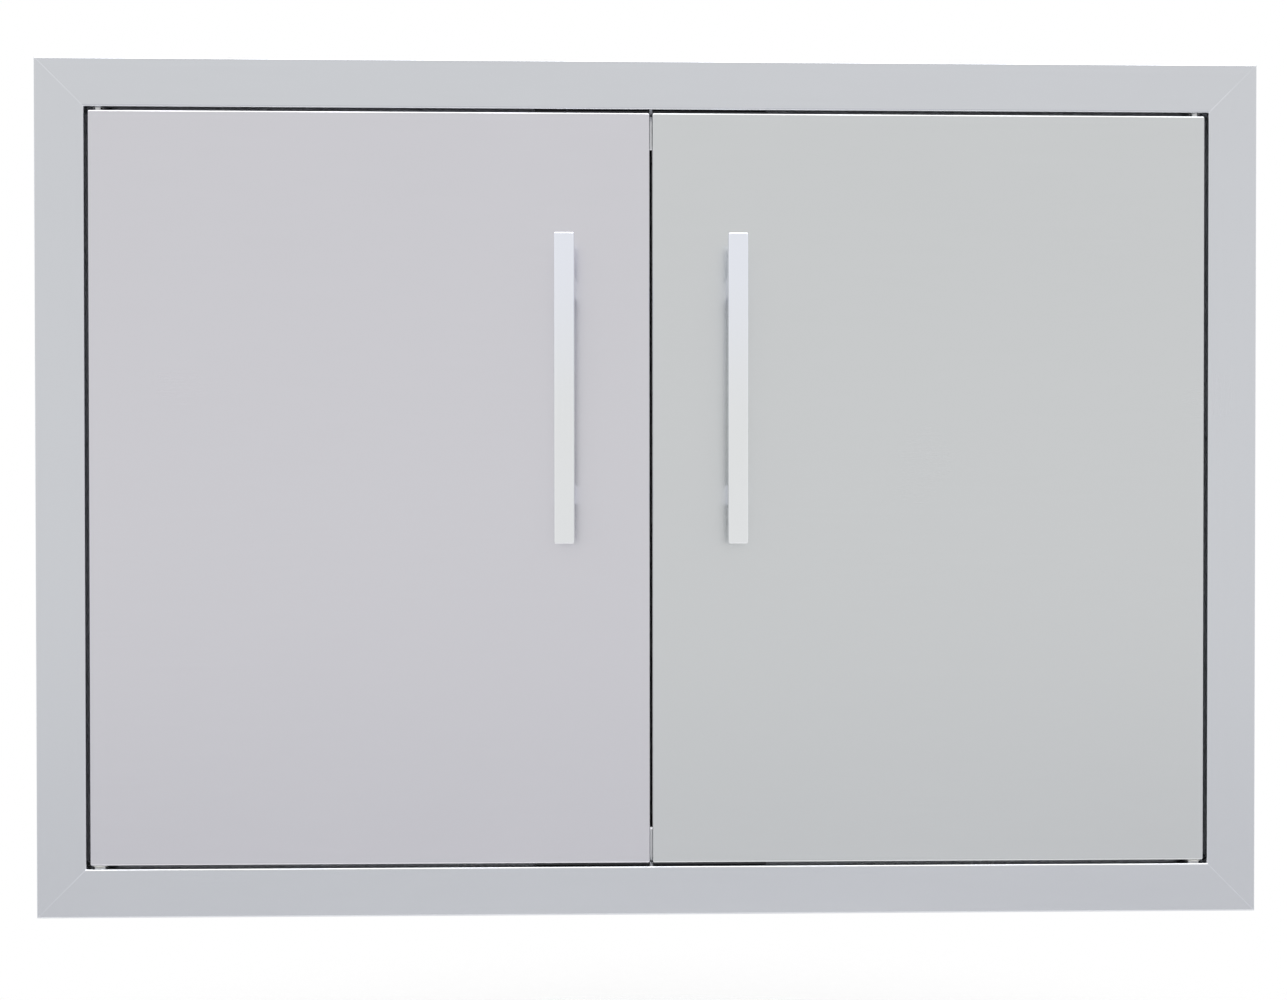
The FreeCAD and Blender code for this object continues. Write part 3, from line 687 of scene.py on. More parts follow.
@dataclass(frozen=True)
class BrushedSteel(Finish):
    """Stainless sheet or bar with directional brushing."""

    grain: Grain
    roughness: float = 0.24
    contrast: float = 0.008
    across: float = 3400.0
    along: float = 30.0
    bump: float = 0.01
    bump_distance: float = 0.00003
    # Brighter edges: partly rubbed wear, partly a painted highlight along the bends.
    edge_shine: float = 0.7
    edge_gain: float = 1.3
    edge_smoothing: float = 0.05
    line_roughness: float = 0.01
    mark_size: float = 0.11
    mark_roughness: float = 0.025
    dust: float = 0.12
    dust_colour: Triple = (0.52, 0.5, 0.46)
    dust_roughness: float = 0.4
    metallic: float = 1.0
    # Colour towards the top over high_span: painted light, the top lit lighter and bluer.
    high_colour: Triple | None = None
    high_span: Span = (0.03, 0.15)

    def shade(self, bench: MaterialBench, effects: SurfaceEffects) -> None:
        """Place the nodes of the brushed metal, which turns to the painted top light colour with height where
        it has one, a painted light on its top.

        Args:
            bench: The material's nodes.
            effects: The shared node groups.
        """
        scales = [self.along + share * (self.across - self.along) for share in self.grain.value]
        stretch = bench.place("ShaderNodeMapping", {"Vector": bench.where, "Scale": scales})
        lines = bench.use(effects.brushing, Vector=stretch.outputs["Vector"])
        marks = bench.mask(effects.handling, Size=self.mark_size)
        edges = bench.mask(effects.polished_edges, Amount=self.edge_shine)
        dust = bench.mask(effects.settled_dust, Amount=self.dust)
        factors = (1.0 - self.contrast, 1.0 + self.contrast)
        tones = [self.toned(factor) for factor in factors]
        # Blend towards the top colour with height: painted light.
        if self.high_colour:
            height = bench.spread(bench.part(bench.where, "Z"), *self.high_span)
            tones = [bench.blend(height, tone, self.toned(factor, self.high_colour))
                     for tone, factor in zip(tones, factors)]
        brushed = bench.blend(lines["Mask"], *tones)
        # Edges blend to a brighter tone: wear and a painted highlight.
        worn_and_highlit = bench.blend(edges, brushed, self.toned(self.edge_gain))
        rough = bench.spread(lines["Mask"], 0.0, 1.0, self.roughness - self.line_roughness,
                             self.roughness + self.line_roughness)
        rough = bench.add_share(rough, marks, self.mark_roughness)
        rough = bench.add_share(rough, edges, -self.edge_smoothing)
        rough = bench.add_share(rough, dust, self.dust_roughness, clamp=True)
        bench.set(Base_Color=bench.blend(dust, worn_and_highlit, colour4(self.dust_colour)), Roughness=rough,
                  Metallic=bench.math("SUBTRACT", self.metallic, dust, clamp=True))
        bench.bump(lines["Height"], self.bump, self.bump_distance)


@dataclass(frozen=True)
class BareMetal(Finish):
    """Rolled, plated or drawn metal without a brushed face."""

    roughness: float = 0.3
    mottle: float = 0.06
    mottle_scale: float = 420.0
    mottle_span: Span = (0.3, 0.7)
    mottle_roughness: float = 0.03
    # Brighter edges: partly rubbed wear, partly a painted highlight.
    edge_shine: float = 0.6
    edge_gain: float = 1.2
    mark_size: float = 0.05
    mark_roughness: float = 0.06
    bump: float = 0.1
    bump_distance: float = 0.00003

    def shade(self, bench: MaterialBench, effects: SurfaceEffects) -> None:
        """Place the nodes of the mottled metal.

        Args:
            bench: The material's nodes.
            effects: The shared node groups.
        """
        spots = bench.spread(bench.noise(bench.where, self.mottle_scale, 4.0), *self.mottle_span)
        edges = bench.mask(effects.polished_edges, Amount=self.edge_shine)
        marks = bench.mask(effects.handling, Size=self.mark_size)
        mottled = bench.blend(spots, self.toned(1.0 - self.mottle), self.toned(1.0 + self.mottle))
        rough = bench.spread(spots, 0.0, 1.0, self.roughness - self.mottle_roughness,
                             self.roughness + self.mottle_roughness)
        bench.set(Base_Color=bench.blend(edges, mottled, self.toned(self.edge_gain)),
                  Roughness=bench.add_share(rough, marks, self.mark_roughness), Metallic=1.0)
        bench.bump(spots, self.bump, self.bump_distance)


@dataclass(frozen=True)
class Moulded(Finish):
    """Moulded plastic or rubber with a fine eroded skin."""

    roughness: float = 0.45
    pit_roughness: Span = (-0.05, 0.07)
    pit_tones: Span = (0.85, 1.12)
    # Brighter edges: partly rubbed wear, partly a painted highlight.
    edge_shine: float = 0.5
    edge_gain: float = 1.5
    bump: float = 0.35
    bump_distance: float = 0.00005
    dust: float = 0.15
    dust_colour: Triple = (0.4, 0.39, 0.36)

    def shade(self, bench: MaterialBench, effects: SurfaceEffects) -> None:
        """Place the nodes of the moulded skin.

        Args:
            bench: The material's nodes.
            effects: The shared node groups.
        """
        skin = bench.use(effects.moulded_skin, Vector=bench.where)
        edges = bench.mask(effects.polished_edges, Amount=self.edge_shine)
        dust = bench.mask(effects.settled_dust, Amount=self.dust)
        base = bench.blend(skin["Mask"], *(self.toned(factor) for factor in self.pit_tones))
        base = bench.blend(edges, base, self.toned(self.edge_gain))
        rough = bench.spread(skin["Mask"], 0.0, 1.0, *(self.roughness + step for step in self.pit_roughness))
        bench.set(Base_Color=bench.blend(dust, base, colour4(self.dust_colour)), Roughness=rough)
        bench.bump(skin["Height"], self.bump, self.bump_distance)


@dataclass
class FinishSet:
    """Every finish of the object, by what it is used on."""

    effects: SurfaceEffects

    def __post_init__(self) -> None:
        """Build the materials."""
        surround = (0.687, 0.702, 0.734)
        finishes = (
            BrushedSteel("stile_steel", surround, Grain.UPRIGHT),
            # Rails and leaves take the full amount of brighter edges, which paints the highlight along their
            # bends as well as wear.
            BrushedSteel("rail_steel", surround, Grain.LEVEL, edge_shine=1.0),
            # Both leaves are one steel; the right leaf is set darker and greyer than the left as painted shade.
            BrushedSteel("left_door_steel", (0.702, 0.695, 0.734), Grain.LEVEL, edge_shine=1.0),
            BrushedSteel("right_door_steel", (0.680, 0.695, 0.702), Grain.LEVEL, edge_shine=1.0),
            # The handle bar turns lighter and bluer towards its top: painted light.
            BrushedSteel("handle_steel", (0.862, 0.878, 0.885), Grain.UPRIGHT, roughness=0.22,
                         edge_shine=0.8, high_colour=(0.895, 0.92, 0.99)),
            # The posts are the handle's steel made darker and bluer: painted shade between bar and leaf.
            BrushedSteel("post_steel", (0.70, 0.725, 0.82), Grain.UPRIGHT, roughness=0.22, edge_shine=0.8),
            BrushedSteel("liner_steel", (0.66, 0.665, 0.68), Grain.LEVEL, roughness=0.32),
            # The upright stops are the stop steel made brighter and mostly diffuse: painted light in the side
            # gaps.
            BrushedSteel("upright_stop_steel", (0.86, 0.87, 0.9), Grain.UPRIGHT, roughness=0.35,
                         metallic=0.25),
            BrushedSteel("level_stop_steel", (0.82, 0.83, 0.85), Grain.LEVEL, roughness=0.18, metallic=0.8),
            BareMetal("bracket_steel", (0.5, 0.505, 0.51), roughness=0.38),
            BareMetal("fastener_steel", (0.62, 0.625, 0.63), roughness=0.16, mottle=0.03),
            BareMetal("spring_wire", (0.46, 0.46, 0.47), roughness=0.25),
            BareMetal("magnet_block", (0.09, 0.09, 0.095), roughness=0.5),
            Moulded("bush_plastic", (0.74, 0.74, 0.71), roughness=0.4, edge_gain=1.1, bump=0.2),
            Moulded("black_plastic", (0.018, 0.02, 0.023)),
            Moulded("strip_plastic", (0.007, 0.008, 0.011), dust=0.04),
            Moulded("bumper_rubber", (0.03, 0.03, 0.031), roughness=0.75, edge_gain=1.3, bump=0.5),
        )
        self.by_name = {finish.name: finish.material(self.effects) for finish in finishes}

    def __getitem__(self, name: str) -> bpy.types.Material:
        """Give the finish of that name."""
        return self.by_name[name]


@dataclass(frozen=True)
class Placing:
    """Where both copies of one right hand piece go; {side} in a text stands for left or right."""

    made: Workpiece
    name: str
    node: str
    slot: str
    finish: str
    body: str = "{side}_door"
    up: float = 1.0
    crease: float = CREASE_ANGLE

    def place(self, side: Side, finishes: FinishSet) -> None:
        """Copy the piece to one side and dress the copy.

        Args:
            side: The side.
            finishes: The finishes.
        """
        texts = (self.name, self.finish, self.body, self.node)
        name, finish, body, node = (text.format(side=side.label) for text in texts)
        copy = self.made.copied(name, flip=(side.value, 1.0, self.up))
        copy.smooth(self.crease).hand_over(finishes[finish], body, self.slot, node)


def place_both(finishes: FinishSet, placings: Sequence[Placing]) -> None:
    """Copy right hand pieces to both sides and drop the originals.

    Args:
        finishes: The finishes.
        placings: The pieces and where their copies go.
    """
    for side in Side:
        for placing in placings:
            placing.place(side, finishes)
    for made in {placing.made for placing in placings}:
        made.discard()


# The object's own pieces

@dataclass
class FoldedRim(ABC):
    """Four mitred sides of folded sheet round the opening."""

    piece_name: ClassVar[str]
    node_name: ClassVar[str]
    slot: ClassVar[str]
    upright_steel: ClassVar[str]
    level_steel: ClassVar[str]

    finishes: FinishSet
    half_open_width: float = 0.3505
    half_open_height: float = 0.2362
    sheet: float = 0.0012

    def half_spans(self, rim: Rim) -> Span:
        """Give half the opening across one side and half of it along the side."""
        spans = (self.half_open_width, self.half_open_height)
        return spans if rim.upright else spans[::-1]

    def fold(self, rim: Rim, width: Span, depth: float, reach: float,
             legs: Sequence[tuple[float, Sequence[Span]]],
             bends: Sequence[tuple[float, float, Round]]) -> Workpiece:
        """Fold a long sheet and mitre its ends.

        Args:
            rim: The side that it becomes.
            width: X of the left and of the right edge of its face.
            depth: Y of its face.
            reach: Half its length before the ends are cut.
            legs: X of an edge of the face, and the steps on X and Y that the sheet takes from there.
            bends: X, Y and round of each bend.

        Returns:
            The folded sheet, on the right.
        """
        across, along = self.half_spans(rim)
        folded = Workpiece.sheet("folded", (width[0], depth, -reach), (width[1], depth, reach))
        for start, steps in legs:
            folded.pick_edges(upright_edge_at(start, depth))
            for step_x, step_y in steps:
                folded.extrude((step_x, step_y, 0))
        for x, y, bend in bends:
            folded.pick_edges(upright_edge_at(x, y)).bevel(bend)
        folded.thicken(self.sheet, 0.0)
        for sign in (-1, 1):
            folded.cut_off((across, 0, sign * along), (-DIAGONAL, 0, sign * DIAGONAL))
        return folded

    @abstractmethod
    def make_side(self, rim: Rim) -> Workpiece:
        """Make one side, on the right."""

    def build(self) -> None:
        """Make the four sides, turn them into place and dress them."""
        for rim in Rim:
            made = self.make_side(rim)
            side = made.copied(self.piece_name + rim.label, turn=rim.value)
            made.discard()
            steel = self.finishes[self.upright_steel if rim.upright else self.level_steel]
            side.smooth().hand_over(steel, "frame", self.slot, self.node_name + rim.label)


@dataclass
class FrameSurround(FoldedRim):
    """The four sides of the folded frame, with their holes for screws and pins."""

    piece_name = "surround_"
    node_name = "frame_"
    slot = "frame_sheet"
    upright_steel = "stile_steel"
    level_steel = "rail_steel"

    face_width: float = 0.0305
    proud: float = 0.019
    back_lip: float = 0.012
    sleeve_depth: float = 0.050
    hem: float = 0.007
    hem_step: float = 0.002
    edge_bend: Round = Round(0.0006, 6)
    side_edge_bend: Round = Round(0.0003, 6)
    opening_bend: Round = Round(0.0008, 6)
    lip_bend: Round = Round(0.0011, 3)
    hem_bend: Round = Round(0.00098, 4)
    pivot_x: float = 0.3429
    pivot_y: float = -0.014
    upper_pivot_hole: float = 0.00327
    lower_pivot_hole: float = 0.00252
    screw_hole: float = 0.0025
    screw_setback: float = 0.035
    side_screw_spacing: float = 0.300
    rail_screw_spacing: float = 0.400

    def holes(self, rim: Rim) -> list[Triple]:
        """Holes through the sleeve of one side.

        Args:
            rim: The side.

        Returns:
            Place along the side, depth and radius of each.
        """
        spacing = self.side_screw_spacing if rim.upright else self.rail_screw_spacing
        holes = [(sign * spacing / 2, self.screw_setback, self.screw_hole) for sign in (-1, 1)]
        if not rim.upright:
            radius = self.upper_pivot_hole if rim is Rim.TOP_RAIL else self.lower_pivot_hole
            holes += [(sign * self.pivot_x, self.pivot_y, radius) for sign in (-1, 1)]
        return holes

    def make_side(self, rim: Rim) -> Workpiece:
        """Fold, mitre and drill one side.

        Args:
            rim: The side.

        Returns:
            The side, on the right.
        """
        across, along = self.half_spans(rim)
        half = self.sheet / 2
        inner = across + half
        outer = across + self.face_width - half
        face = half - self.proud
        rear = self.sleeve_depth - half
        legs = (
            (outer, ((0, -half - face), (half - self.back_lip, 0))),
            (inner, ((0, rear - face), (-self.hem_step, 0), (0, -self.hem))),
        )
        bends = (
            (outer, face, self.side_edge_bend if rim.upright else self.edge_bend),
            (inner, face, self.opening_bend),
            (outer, -half, self.lip_bend),
            (inner, rear, self.hem_bend),
            (inner - self.hem_step, rear, self.hem_bend),
        )
        reach = along + self.face_width + self.sleeve_depth
        side = self.fold(rim, (inner, outer), face, reach, legs, bends)
        return side.cut([
            Workpiece.bar("drill", (across - self.sheet, depth, place), "X", radius, 3 * self.sheet)
            for place, depth, radius in self.holes(rim)])


@dataclass
class StopSurround(FoldedRim):
    """The four angles inside the sleeve that the leaves close against."""

    piece_name = "closing_stop_"
    node_name = "stop_"
    slot = "stop_sheet"
    upright_steel = "upright_stop_steel"
    level_steel = "level_stop_steel"

    front: float = -0.0035
    width: float = 0.0215
    leg: float = 0.016
    hem: float = 0.006
    hem_step: float = 0.002
    bend: Round = Round(0.0014, 5)
    hem_bend: Round = Round(0.00098, 4)

    def make_side(self, rim: Rim) -> Workpiece:
        """Fold and mitre one angle.

        Args:
            rim: The side.

        Returns:
            The angle, on the right.
        """
        across, along = self.half_spans(rim)
        half = self.sheet / 2
        wall = across - half
        edge = across + half - self.width
        face = self.front + half
        legs = ((wall, ((0, self.leg - half),)), (edge, ((0, self.hem_step), (self.hem, 0))))
        bends = (
            (wall, face, self.bend),
            (edge, face, self.hem_bend),
            (edge, face + self.hem_step, self.hem_bend),
        )
        return self.fold(rim, (edge, wall), face, along, legs, bends)


@dataclass
class DoorLeaf:
    """Skin and liner of the leaves, made for the right and mirrored to the left."""

    finishes: FinishSet
    inner_x: float = 0.0008
    outer_x: float = 0.3482
    half_height: float = 0.2342
    front: float = -0.019
    back: float = -0.006
    skin_sheet: float = 0.001
    skin_round: Round = Round(0.0012, 6)
    liner_sheet: float = 0.0008
    liner_round: Round = Round(0.0012, 5)
    liner_wall: float = 0.0022
    liner_inset: float = 0.00105
    pivot_x: float = 0.3429
    pivot_y: float = -0.014
    pin_hole: float = 0.00255
    bush_hole: float = 0.00327
    access_hole: float = 0.006
    handle_x: float = 0.0527
    post_heights: Span = (-0.004, 0.124)
    lever_x: float = 0.3184
    lever_slot: Span = (0.18575, 0.19565)
    lever_slot_half_width: float = 0.0035
    lever_slot_round: Round = Round(0.001, 3)

    def make_skin(self) -> Workpiece:
        """Fold the outer tray and drill it for the pivots.

        Returns:
            The right hand skin.
        """
        skin = Workpiece.block("leaf_skin", (self.inner_x, self.front, -self.half_height),
                               (self.outer_x, self.back, self.half_height))
        skin.pick_faces(lambda middle, normal: normal.y > FACING).drop_faces()
        skin.pick_edges(edge_off_depth(self.back)).bevel(self.skin_round)
        skin.thicken(self.skin_sheet, -1.0)
        deep = 4 * self.skin_sheet
        holes = ((self.half_height, self.pin_hole), (-self.half_height, self.bush_hole))
        return skin.cut([
            Workpiece.bar("drill", (self.pivot_x, self.pivot_y, height - deep), "Z", radius, 2 * deep)
            for height, radius in holes])

    def make_liner(self) -> Workpiece:
        """Fold the inner tray and cut its access holes and lever slot.

        Returns:
            The right hand liner.
        """
        rim = self.half_height - self.liner_inset
        low = (self.inner_x + self.liner_inset, self.back - self.liner_wall, -rim)
        liner = Workpiece.block("leaf_liner", low, (self.outer_x - self.liner_inset, self.back, rim))
        liner.pick_faces(lambda middle, normal: normal.y < -FACING).drop_faces()
        liner.pick_edges(edge_off_depth(low[1])).bevel(self.liner_round)
        liner.thicken(self.liner_sheet, -1.0)
        start = self.back - 2 * self.liner_sheet
        length = 3 * self.liner_sheet
        left = self.lever_x - self.lever_slot_half_width
        right = self.lever_x + self.lever_slot_half_width
        tools = [Workpiece.bar("drill", (self.handle_x, start, height), "Y", self.access_hole, length)
                 for height in self.post_heights]
        punch = Workpiece.block("punch", (left, start, self.lever_slot[0]),
                                (right, start + length, self.lever_slot[1]))
        punch.pick_edges(runs_along("y", self.liner_sheet)).bevel(self.lever_slot_round)
        return liner.cut(tools + [punch])

    def build(self) -> None:
        """Make both leaves and dress them."""
        skin = Placing(self.make_skin(), "{side}_leaf_skin", "{side}_door_skin", "door_sheet",
                       "{side}_door_steel")
        liner = Placing(self.make_liner(), "{side}_leaf_liner", "{side}_door_liner", "liner_sheet",
                        "liner_steel")
        for placing in (skin, liner):
            place_both(self.finishes, [placing])


@dataclass
class PullHandle:
    """Square bar on two square posts."""

    finishes: FinishSet
    x: float = 0.0527
    bar_side: float = 0.012
    bar_low: float = -0.034
    bar_high: float = 0.154
    bar_front: float = -0.053
    leaf_front: float = -0.019
    post_side: float = 0.012
    post_heights: Span = (-0.004, 0.124)
    edge_round: Round = Round(0.0009, 4)
    end_round: Round = Round(0.00135, 4)
    joint_round: Round = Round(0.00025, 2)

    def make_bar(self) -> Workpiece:
        """Round a square bar on all its edges.

        Returns:
            The right hand bar.
        """
        half = self.bar_side / 2
        bar = Workpiece.block("pull_bar", (self.x - half, self.bar_front, self.bar_low),
                              (self.x + half, self.bar_front + self.bar_side, self.bar_high))
        bar.pick_edges(runs_along("z", half)).bevel(self.edge_round)
        for end in (self.bar_low, self.bar_high):
            bar.pick_edges(edge_in_plane("z", end)).bevel(self.end_round)
        return bar

    def make_post(self, height: float) -> Workpiece:
        """Round a square post along its length, with a fine joint where it meets the leaf and the bar.

        Args:
            height: Height of its middle.

        Returns:
            The right hand post.
        """
        half = self.post_side / 2
        start = self.bar_front + self.bar_side
        post = Workpiece.block("pull_post", (self.x - half, start, height - half),
                               (self.x + half, self.leaf_front, height + half))
        post.pick_edges(runs_along("y", half)).bevel(self.edge_round)
        for depth in (start, self.leaf_front):
            post.pick_edges(edge_in_plane("y", depth)).bevel(self.joint_round)
        return post

    def build(self) -> None:
        """Make both handles and dress them."""
        placings = [Placing(self.make_bar(), "{side}_pull_bar", "{side}_handle_bar", "handle_steel",
                            "handle_steel")]
        # The posts take the darker, bluer post finish, painted shade between bar and leaf.
        for place, height in zip(("lower", "upper"), self.post_heights):
            placings.append(Placing(self.make_post(height), "{side}_" + place + "_pull_post",
                                    "{side}_handle_posts", "handle_steel", "post_steel"))
        for placing in placings:
            place_both(self.finishes, [placing])


@dataclass
class MagnetStrips:
    """Black strips on the top and bottom edges of the leaves, beside the slit."""

    finishes: FinishSet
    inner_x: float = 0.0010
    outer_x: float = 0.0725
    front: float = -0.017
    back: float = -0.007
    seat: float = 0.2342
    top: float = 0.2357
    edge_round: Round = Round(0.0004, 3)
    channel_border: float = 0.0022
    channel_depth: float = 0.0003

    def make_strip(self) -> Workpiece:
        """Press a shallow channel along the top of a strip and round its edges above the seat.

        Returns:
            The top right strip.
        """
        strip = Workpiece.block("magnet_strip", (self.inner_x, self.front, self.seat),
                                (self.outer_x, self.back, self.top))
        strip.pick_faces(lambda middle, normal: normal.z > FACING).inset(self.channel_border)
        strip.extrude((0, 0, -self.channel_depth))

        def outside(end: Vector) -> bool:
            """Say whether a point lies on one of the four outer sides."""
            return any(within_tolerance(off) for off in (end.x - self.inner_x, end.x - self.outer_x,
                                                end.y - self.front, end.y - self.back))

        strip.pick_edges(lambda first, last: outside(first) and outside(last)
                         and max(first.z, last.z) > self.seat + PLACE_TOLERANCE)
        return strip.bevel(self.edge_round)

    def build(self) -> None:
        """Make the four strips and dress them."""
        made = self.make_strip()
        place_both(self.finishes, [
            Placing(made, "{side}_" + place + "_closing_strip", "{side}_" + place + "_magnet_strip",
                    "black_plastic", "strip_plastic", up=up)
            for place, up in (("top", 1.0), ("bottom", -1.0))])


@dataclass
class BackFittings:
    """Finger knobs, access plugs and bumpers on the back of the leaves and on the stops."""

    finishes: FinishSet
    knob_x: float = 0.3184
    knob_z: float = 0.19415
    knob_front: float = -0.0055
    knob_length: float = 0.006
    knob_radius: float = 0.004
    knob_sides: int = 28
    knob_crease: float = 28.0
    knob_round: Round = Round(0.0004, 2)
    knob_rim_share: float = 0.97
    knob_border: float = 0.0012
    knob_dish: Span = (0.0004, -0.0003)
    flute: Span = (0.00012, -0.00022)
    plug_x: float = 0.0527
    plug_heights: Span = (-0.004, 0.124)
    plug_radius: float = 0.0075
    plug_sides: int = 40
    plug_front: float = -0.006
    plug_height: float = 0.001
    plug_border: float = 0.0016
    plug_stem: float = 0.003
    plug_round: Round = Round(0.0005, 3)
    coin_slot_half: Span = (0.0045, 0.0006)
    coin_slot_depth: float = 0.0005
    bumper_x: float = 0.028
    bumper_z: float = 0.22545
    bumper_front: float = -0.0057
    bumper_height: float = 0.0022
    bumper_radius: float = 0.005
    bumper_sides: int = 36
    bumper_round: Round = Round(0.0008, 4)
    bumper_border: float = 0.0012
    bumper_dish: Span = (0.0006, -0.0003)

    def make_knob(self) -> Workpiece:
        """Flute the side of a short cylinder, dish its end and round its outer rim.

        Returns:
            The right hand knob.
        """
        knob = Workpiece.bar("finger_knob", (self.knob_x, self.knob_front, self.knob_z), "Y",
                             self.knob_radius, self.knob_length, self.knob_sides)
        end = self.knob_front + self.knob_length

        def fluted(middle: Vector, normal: Vector) -> bool:
            """Pick every other side face."""
            number = math.atan2(normal.z, normal.x) / (2 * math.pi) * self.knob_sides
            return abs(normal.y) < 1.0 - FACING and math.floor(number + 0.01) % 2 == 0

        def on_rim(place: Vector) -> bool:
            """Say whether a point lies on the rim of the outer end."""
            off_axis = Vector((place.x - self.knob_x, place.z - self.knob_z)).length
            return place.y > end - PLACE_TOLERANCE and off_axis > self.knob_radius * self.knob_rim_share

        knob.pick_faces(fluted).inset(*self.flute, each=True)
        knob.pick_faces(lambda middle, normal: normal.y > FACING)
        knob.inset(self.knob_border).inset(*self.knob_dish)
        knob.pick_edges(lambda first, last: on_rim(first) and on_rim(last))
        return knob.bevel(self.knob_round)

    def make_plug(self, height: float) -> Workpiece:
        """Turn a plug with a stem, a rounded rim and a coin slot.

        Args:
            height: Height of its middle.

        Returns:
            The right hand plug.
        """
        plug = Workpiece.bar("access_plug", (self.plug_x, self.plug_front, height), "Y", self.plug_radius,
                             self.plug_height, self.plug_sides)
        outer = self.plug_front + self.plug_height
        plug.pick_faces(lambda middle, normal: normal.y < -FACING).inset(self.plug_border)
        plug.extrude((0, -self.plug_stem, 0))
        plug.pick_edges(edge_in_plane("y", outer)).bevel(self.plug_round)
        half_length, half_width = self.coin_slot_half
        slot = Workpiece.block(
            "coin_slot", (self.plug_x - half_length, outer - self.coin_slot_depth, height - half_width),
            (self.plug_x + half_length, outer + 2 * self.coin_slot_depth, height + half_width))
        return plug.cut([slot])

    def make_bumper(self) -> Workpiece:
        """Round a soft pad on its front and sink its middle a little.

        Returns:
            The top right bumper.
        """
        pad = Workpiece.bar("soft_bumper", (self.bumper_x, self.bumper_front, self.bumper_z), "Y",
                            self.bumper_radius, self.bumper_height, self.bumper_sides)
        pad.pick_edges(edge_in_plane("y", self.bumper_front)).bevel(self.bumper_round)
        pad.pick_faces(lambda middle, normal: normal.y < -FACING)
        return pad.inset(self.bumper_border).inset(*self.bumper_dish)

    def build(self) -> None:
        """Make the fittings and dress them."""
        placings = [Placing(self.make_knob(), "{side}_finger_knob", "{side}_release_knob", "black_plastic",
                            "black_plastic", "{side}_hinge_pin", crease=self.knob_crease)]
        for place, height in zip(("lower", "upper"), self.plug_heights):
            placings.append(Placing(self.make_plug(height), "{side}_" + place + "_plug",
                                    "{side}_access_plugs", "black_plastic", "black_plastic"))
        pad = self.make_bumper()
        for place, up in (("upper", 1.0), ("lower", -1.0)):
            placings.append(Placing(pad, "{side}_" + place + "_soft_bumper", "door_bumpers",
                                    "bumper_rubber", "bumper_rubber", "frame", up))
        place_both(self.finishes, placings)


@dataclass
class CarriedOver:
    """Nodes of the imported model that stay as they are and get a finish."""

    finishes: FinishSet
    magnet_finish: str = "magnet_block"

    def build(self) -> None:
        """Give every shown node the finish named as its slot."""
        slots = {part["node"]: part["material_slot"] for part in frame["record"]["subparts"]}
        for name, node in frame["nodes"].items():
            if node.hide_render:
                continue
            finish = self.finishes[self.magnet_finish if slots[name] == "magnet" else slots[name]]
            for place in node.material_slots:
                place.material = finish
            LOG.info("%s keeps its shape, finish %s", name, finish.name)


# Studio

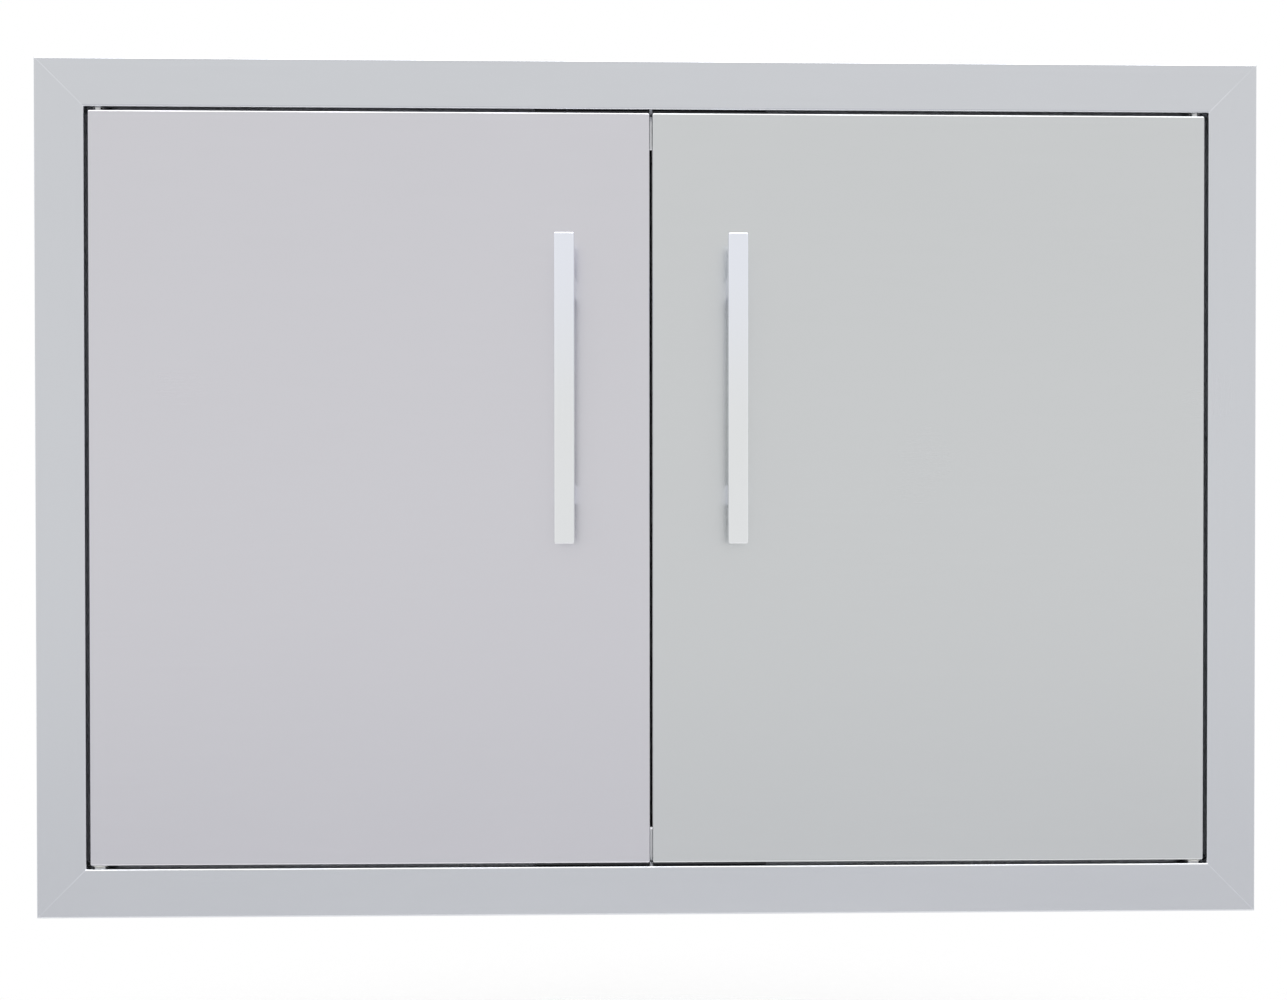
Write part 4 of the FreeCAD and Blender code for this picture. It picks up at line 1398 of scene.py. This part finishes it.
@dataclass
class Studio:
    """Floor, light, camera and a dark sheet behind the doors, painted shade that only the camera sees through
    the slit.
    """

    low_tint: Triple = (0.65, 0.655, 0.685)
    level_span: Span = (-0.29, -0.06)
    level_tint: Triple = (0.86, 0.86, 0.86)
    high_span: Span = (0.02, 0.25)
    high_tint: Triple = (0.825, 0.825, 0.825)
    side_span: Span = (0.85, 0.96)
    side_tint: Triple = (0.99, 0.99, 1.0)
    back_span: Span = (0.0, 0.35)
    lamp_place: Triple = (0.0, -0.45, 1.35)
    lamp_aim: Triple = (0.0, -0.02, 0.1)
    lamp_size: Span = (3.0, 1.0)
    lamp_radiance: float = 2.7
    floor_height: float = -0.62
    floor_half_size: float = 3.0
    floor_thickness: float = 0.02
    floor_round: Round = Round(0.005, 2)
    floor_solid: float = 0.8
    floor_melted: float = 1.5
    floor_shades: Span = (0.6, 0.64)
    floor_cloud_scale: float = 1.5
    floor_roughness: float = 0.9
    floor_specular: float = 0.1
    floor_glow: float = 0.25
    shade_depth: float = 0.0485
    shade_half_size: Span = (0.348, 0.2337)
    shade_colour: Triple = (0.006, 0.006, 0.007)
    camera_place: Triple = (-0.00598, -1.06866, -0.02205)
    camera_turn: Triple = (90.0 - 0.545, 0.026, -1.500)
    focal_pixels: float = 1680.5
    shift_pixels: Span = (-42.1, 39.9)
    clip: Span = (0.01, 100.0)

    def light_world(self) -> None:
        """Grade a white surround: a little darker low in front, full white behind the object."""
        world = bpy.data.worlds.new("studio_surround")
        bpy.context.scene.world = world
        world.use_nodes = True
        world.node_tree.nodes.clear()
        bench = NodeBench(world.node_tree)
        direction = bench.place("ShaderNodeTexCoord").outputs["Generated"]
        height = bench.part(direction, "Z")
        layers = (
            (height, self.level_span, self.level_tint),
            (height, self.high_span, self.high_tint),
            (bench.math("ABSOLUTE", bench.part(direction, "X")), self.side_span, self.side_tint),
            (bench.part(direction, "Y"), self.back_span, WHITE),
        )
        tint = colour4(self.low_tint)
        for value, span, colour in layers:
            tint = bench.blend(bench.spread(value, *span), tint, colour4(colour))
        background = bench.place("ShaderNodeBackground", {"Color": tint, "Strength": 1.0})
        bench.place("ShaderNodeOutputWorld", {"Surface": background.outputs[0]})

    def hang_softbox(self) -> None:
        """Hang one large soft lamp overhead, whose face looks as bright as its radiance, where 1 is white."""
        width, height = self.lamp_size
        lamp = bpy.data.lights.new("overhead_softbox", "AREA")
        lamp.shape = "RECTANGLE"
        lamp.size = width
        lamp.size_y = height
        lamp.energy = self.lamp_radiance * math.pi * width * height
        box = bpy.data.objects.new("overhead_softbox", lamp)
        bpy.context.scene.collection.objects.link(box)
        box.location = self.lamp_place
        direction = Vector(self.lamp_aim) - Vector(self.lamp_place)
        box.rotation_euler = direction.to_track_quat("-Z", "X").to_euler()
        box.rotation_euler.rotate_axis("Z", QUARTER_TURN)
        box.visible_camera = False

    def lay_floor(self) -> None:
        """Lay a pale floor that shows white and still takes the object's shadow."""
        half = self.floor_half_size
        floor = Workpiece.block("studio_floor", (-half, -half, self.floor_height - self.floor_thickness),
                                (half, half, self.floor_height))
        floor.pick_edges(lambda first, last: True).bevel(self.floor_round)
        deselect_everything()
        bench = MaterialBench("studio_floor")
        shades = (colour4((shade, shade, shade)) for shade in self.floor_shades)
        cloudy = bench.blend(bench.noise(bench.where, self.floor_cloud_scale, 3.0), *shades)
        bench.set(Base_Color=cloudy, Roughness=self.floor_roughness, Specular_IOR_Level=self.floor_specular)
        rays = bench.place("ShaderNodeLightPath").outputs
        seen = bench.math("MAXIMUM", rays["Is Camera Ray"], rays["Is Glossy Ray"])
        seen = bench.math("MAXIMUM", seen, rays["Is Transmission Ray"])
        feeds = {"Color": colour4(WHITE), "Strength": bench.math("MULTIPLY", seen, self.floor_glow)}
        glow = bench.place("ShaderNodeEmission", feeds).outputs["Emission"]
        lit = bench.place("ShaderNodeAddShader", {0: bench.shader.outputs["BSDF"], 1: glow})
        reach = bench.place("ShaderNodeVectorMath", {0: bench.where}, operation="LENGTH").outputs["Value"]
        clear = bench.place("ShaderNodeBsdfTransparent").outputs[0]
        bench.show_mix(bench.spread(reach, self.floor_solid, self.floor_melted), lit.outputs["Shader"], clear)
        floor.piece.data.materials.append(bench.material)

    def hang_cabinet_shade(self) -> None:
        """Close the view through the slit with a dark sheet, painted shade that camera rays see from the front
        only and every other ray passes.
        """
        width, height = self.shade_half_size
        shade = Workpiece.sheet("cabinet_dark", (-width, self.shade_depth, -height),
                                (width, self.shade_depth, height))
        bench = MaterialBench("cabinet_dark")
        bench.set(Base_Color=colour4(self.shade_colour), Roughness=1.0, Specular_IOR_Level=0.0)
        rays = bench.place("ShaderNodeLightPath").outputs
        surface = bench.place("ShaderNodeNewGeometry").outputs
        front = bench.math("SUBTRACT", 1.0, surface["Backfacing"])
        clear = bench.place("ShaderNodeBsdfTransparent").outputs[0]
        # Dark only to camera rays from the front: painted shade.
        seen = bench.math("MULTIPLY", rays["Is Camera Ray"], front)
        bench.show_mix(seen, clear, bench.shader.outputs["BSDF"])
        shade.piece.data.materials.append(bench.material)

    def set_camera(self) -> None:
        """Stand the camera where the photograph was taken from."""
        lens = bpy.data.cameras.new("photo_camera")
        lens.sensor_width = SENSOR_WIDTH
        lens.lens = self.focal_pixels / IMAGE_WIDTH * SENSOR_WIDTH
        lens.shift_x = self.shift_pixels[0] / IMAGE_WIDTH
        lens.shift_y = self.shift_pixels[1] / IMAGE_WIDTH
        lens.clip_start = self.clip[0]
        lens.clip_end = self.clip[1]
        camera = bpy.data.objects.new("photo_camera", lens)
        bpy.context.scene.collection.objects.link(camera)
        camera.location = self.camera_place
        camera.rotation_euler = [math.radians(turn) for turn in self.camera_turn]
        bpy.context.scene.camera = camera

    def build(self) -> None:
        """Set up everything round the object."""
        self.light_world()
        self.hang_softbox()
        self.lay_floor()
        self.hang_cabinet_shade()
        self.set_camera()
        bpy.context.scene.view_settings.view_transform = "Standard"
        LOG.info("studio is set")


def main() -> None:
    """Build and dress the access door and its studio."""
    logging.basicConfig(level=logging.INFO, format="%(name)s: %(message)s", stream=sys.stdout)
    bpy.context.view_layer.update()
    finishes = FinishSet(SurfaceEffects())
    for assembly in (FrameSurround, StopSurround, DoorLeaf, PullHandle, MagnetStrips, BackFittings,
                     CarriedOver):
        assembly(finishes).build()
    Studio().build()
    deselect_everything()


if __name__ == "__main__":
    main()
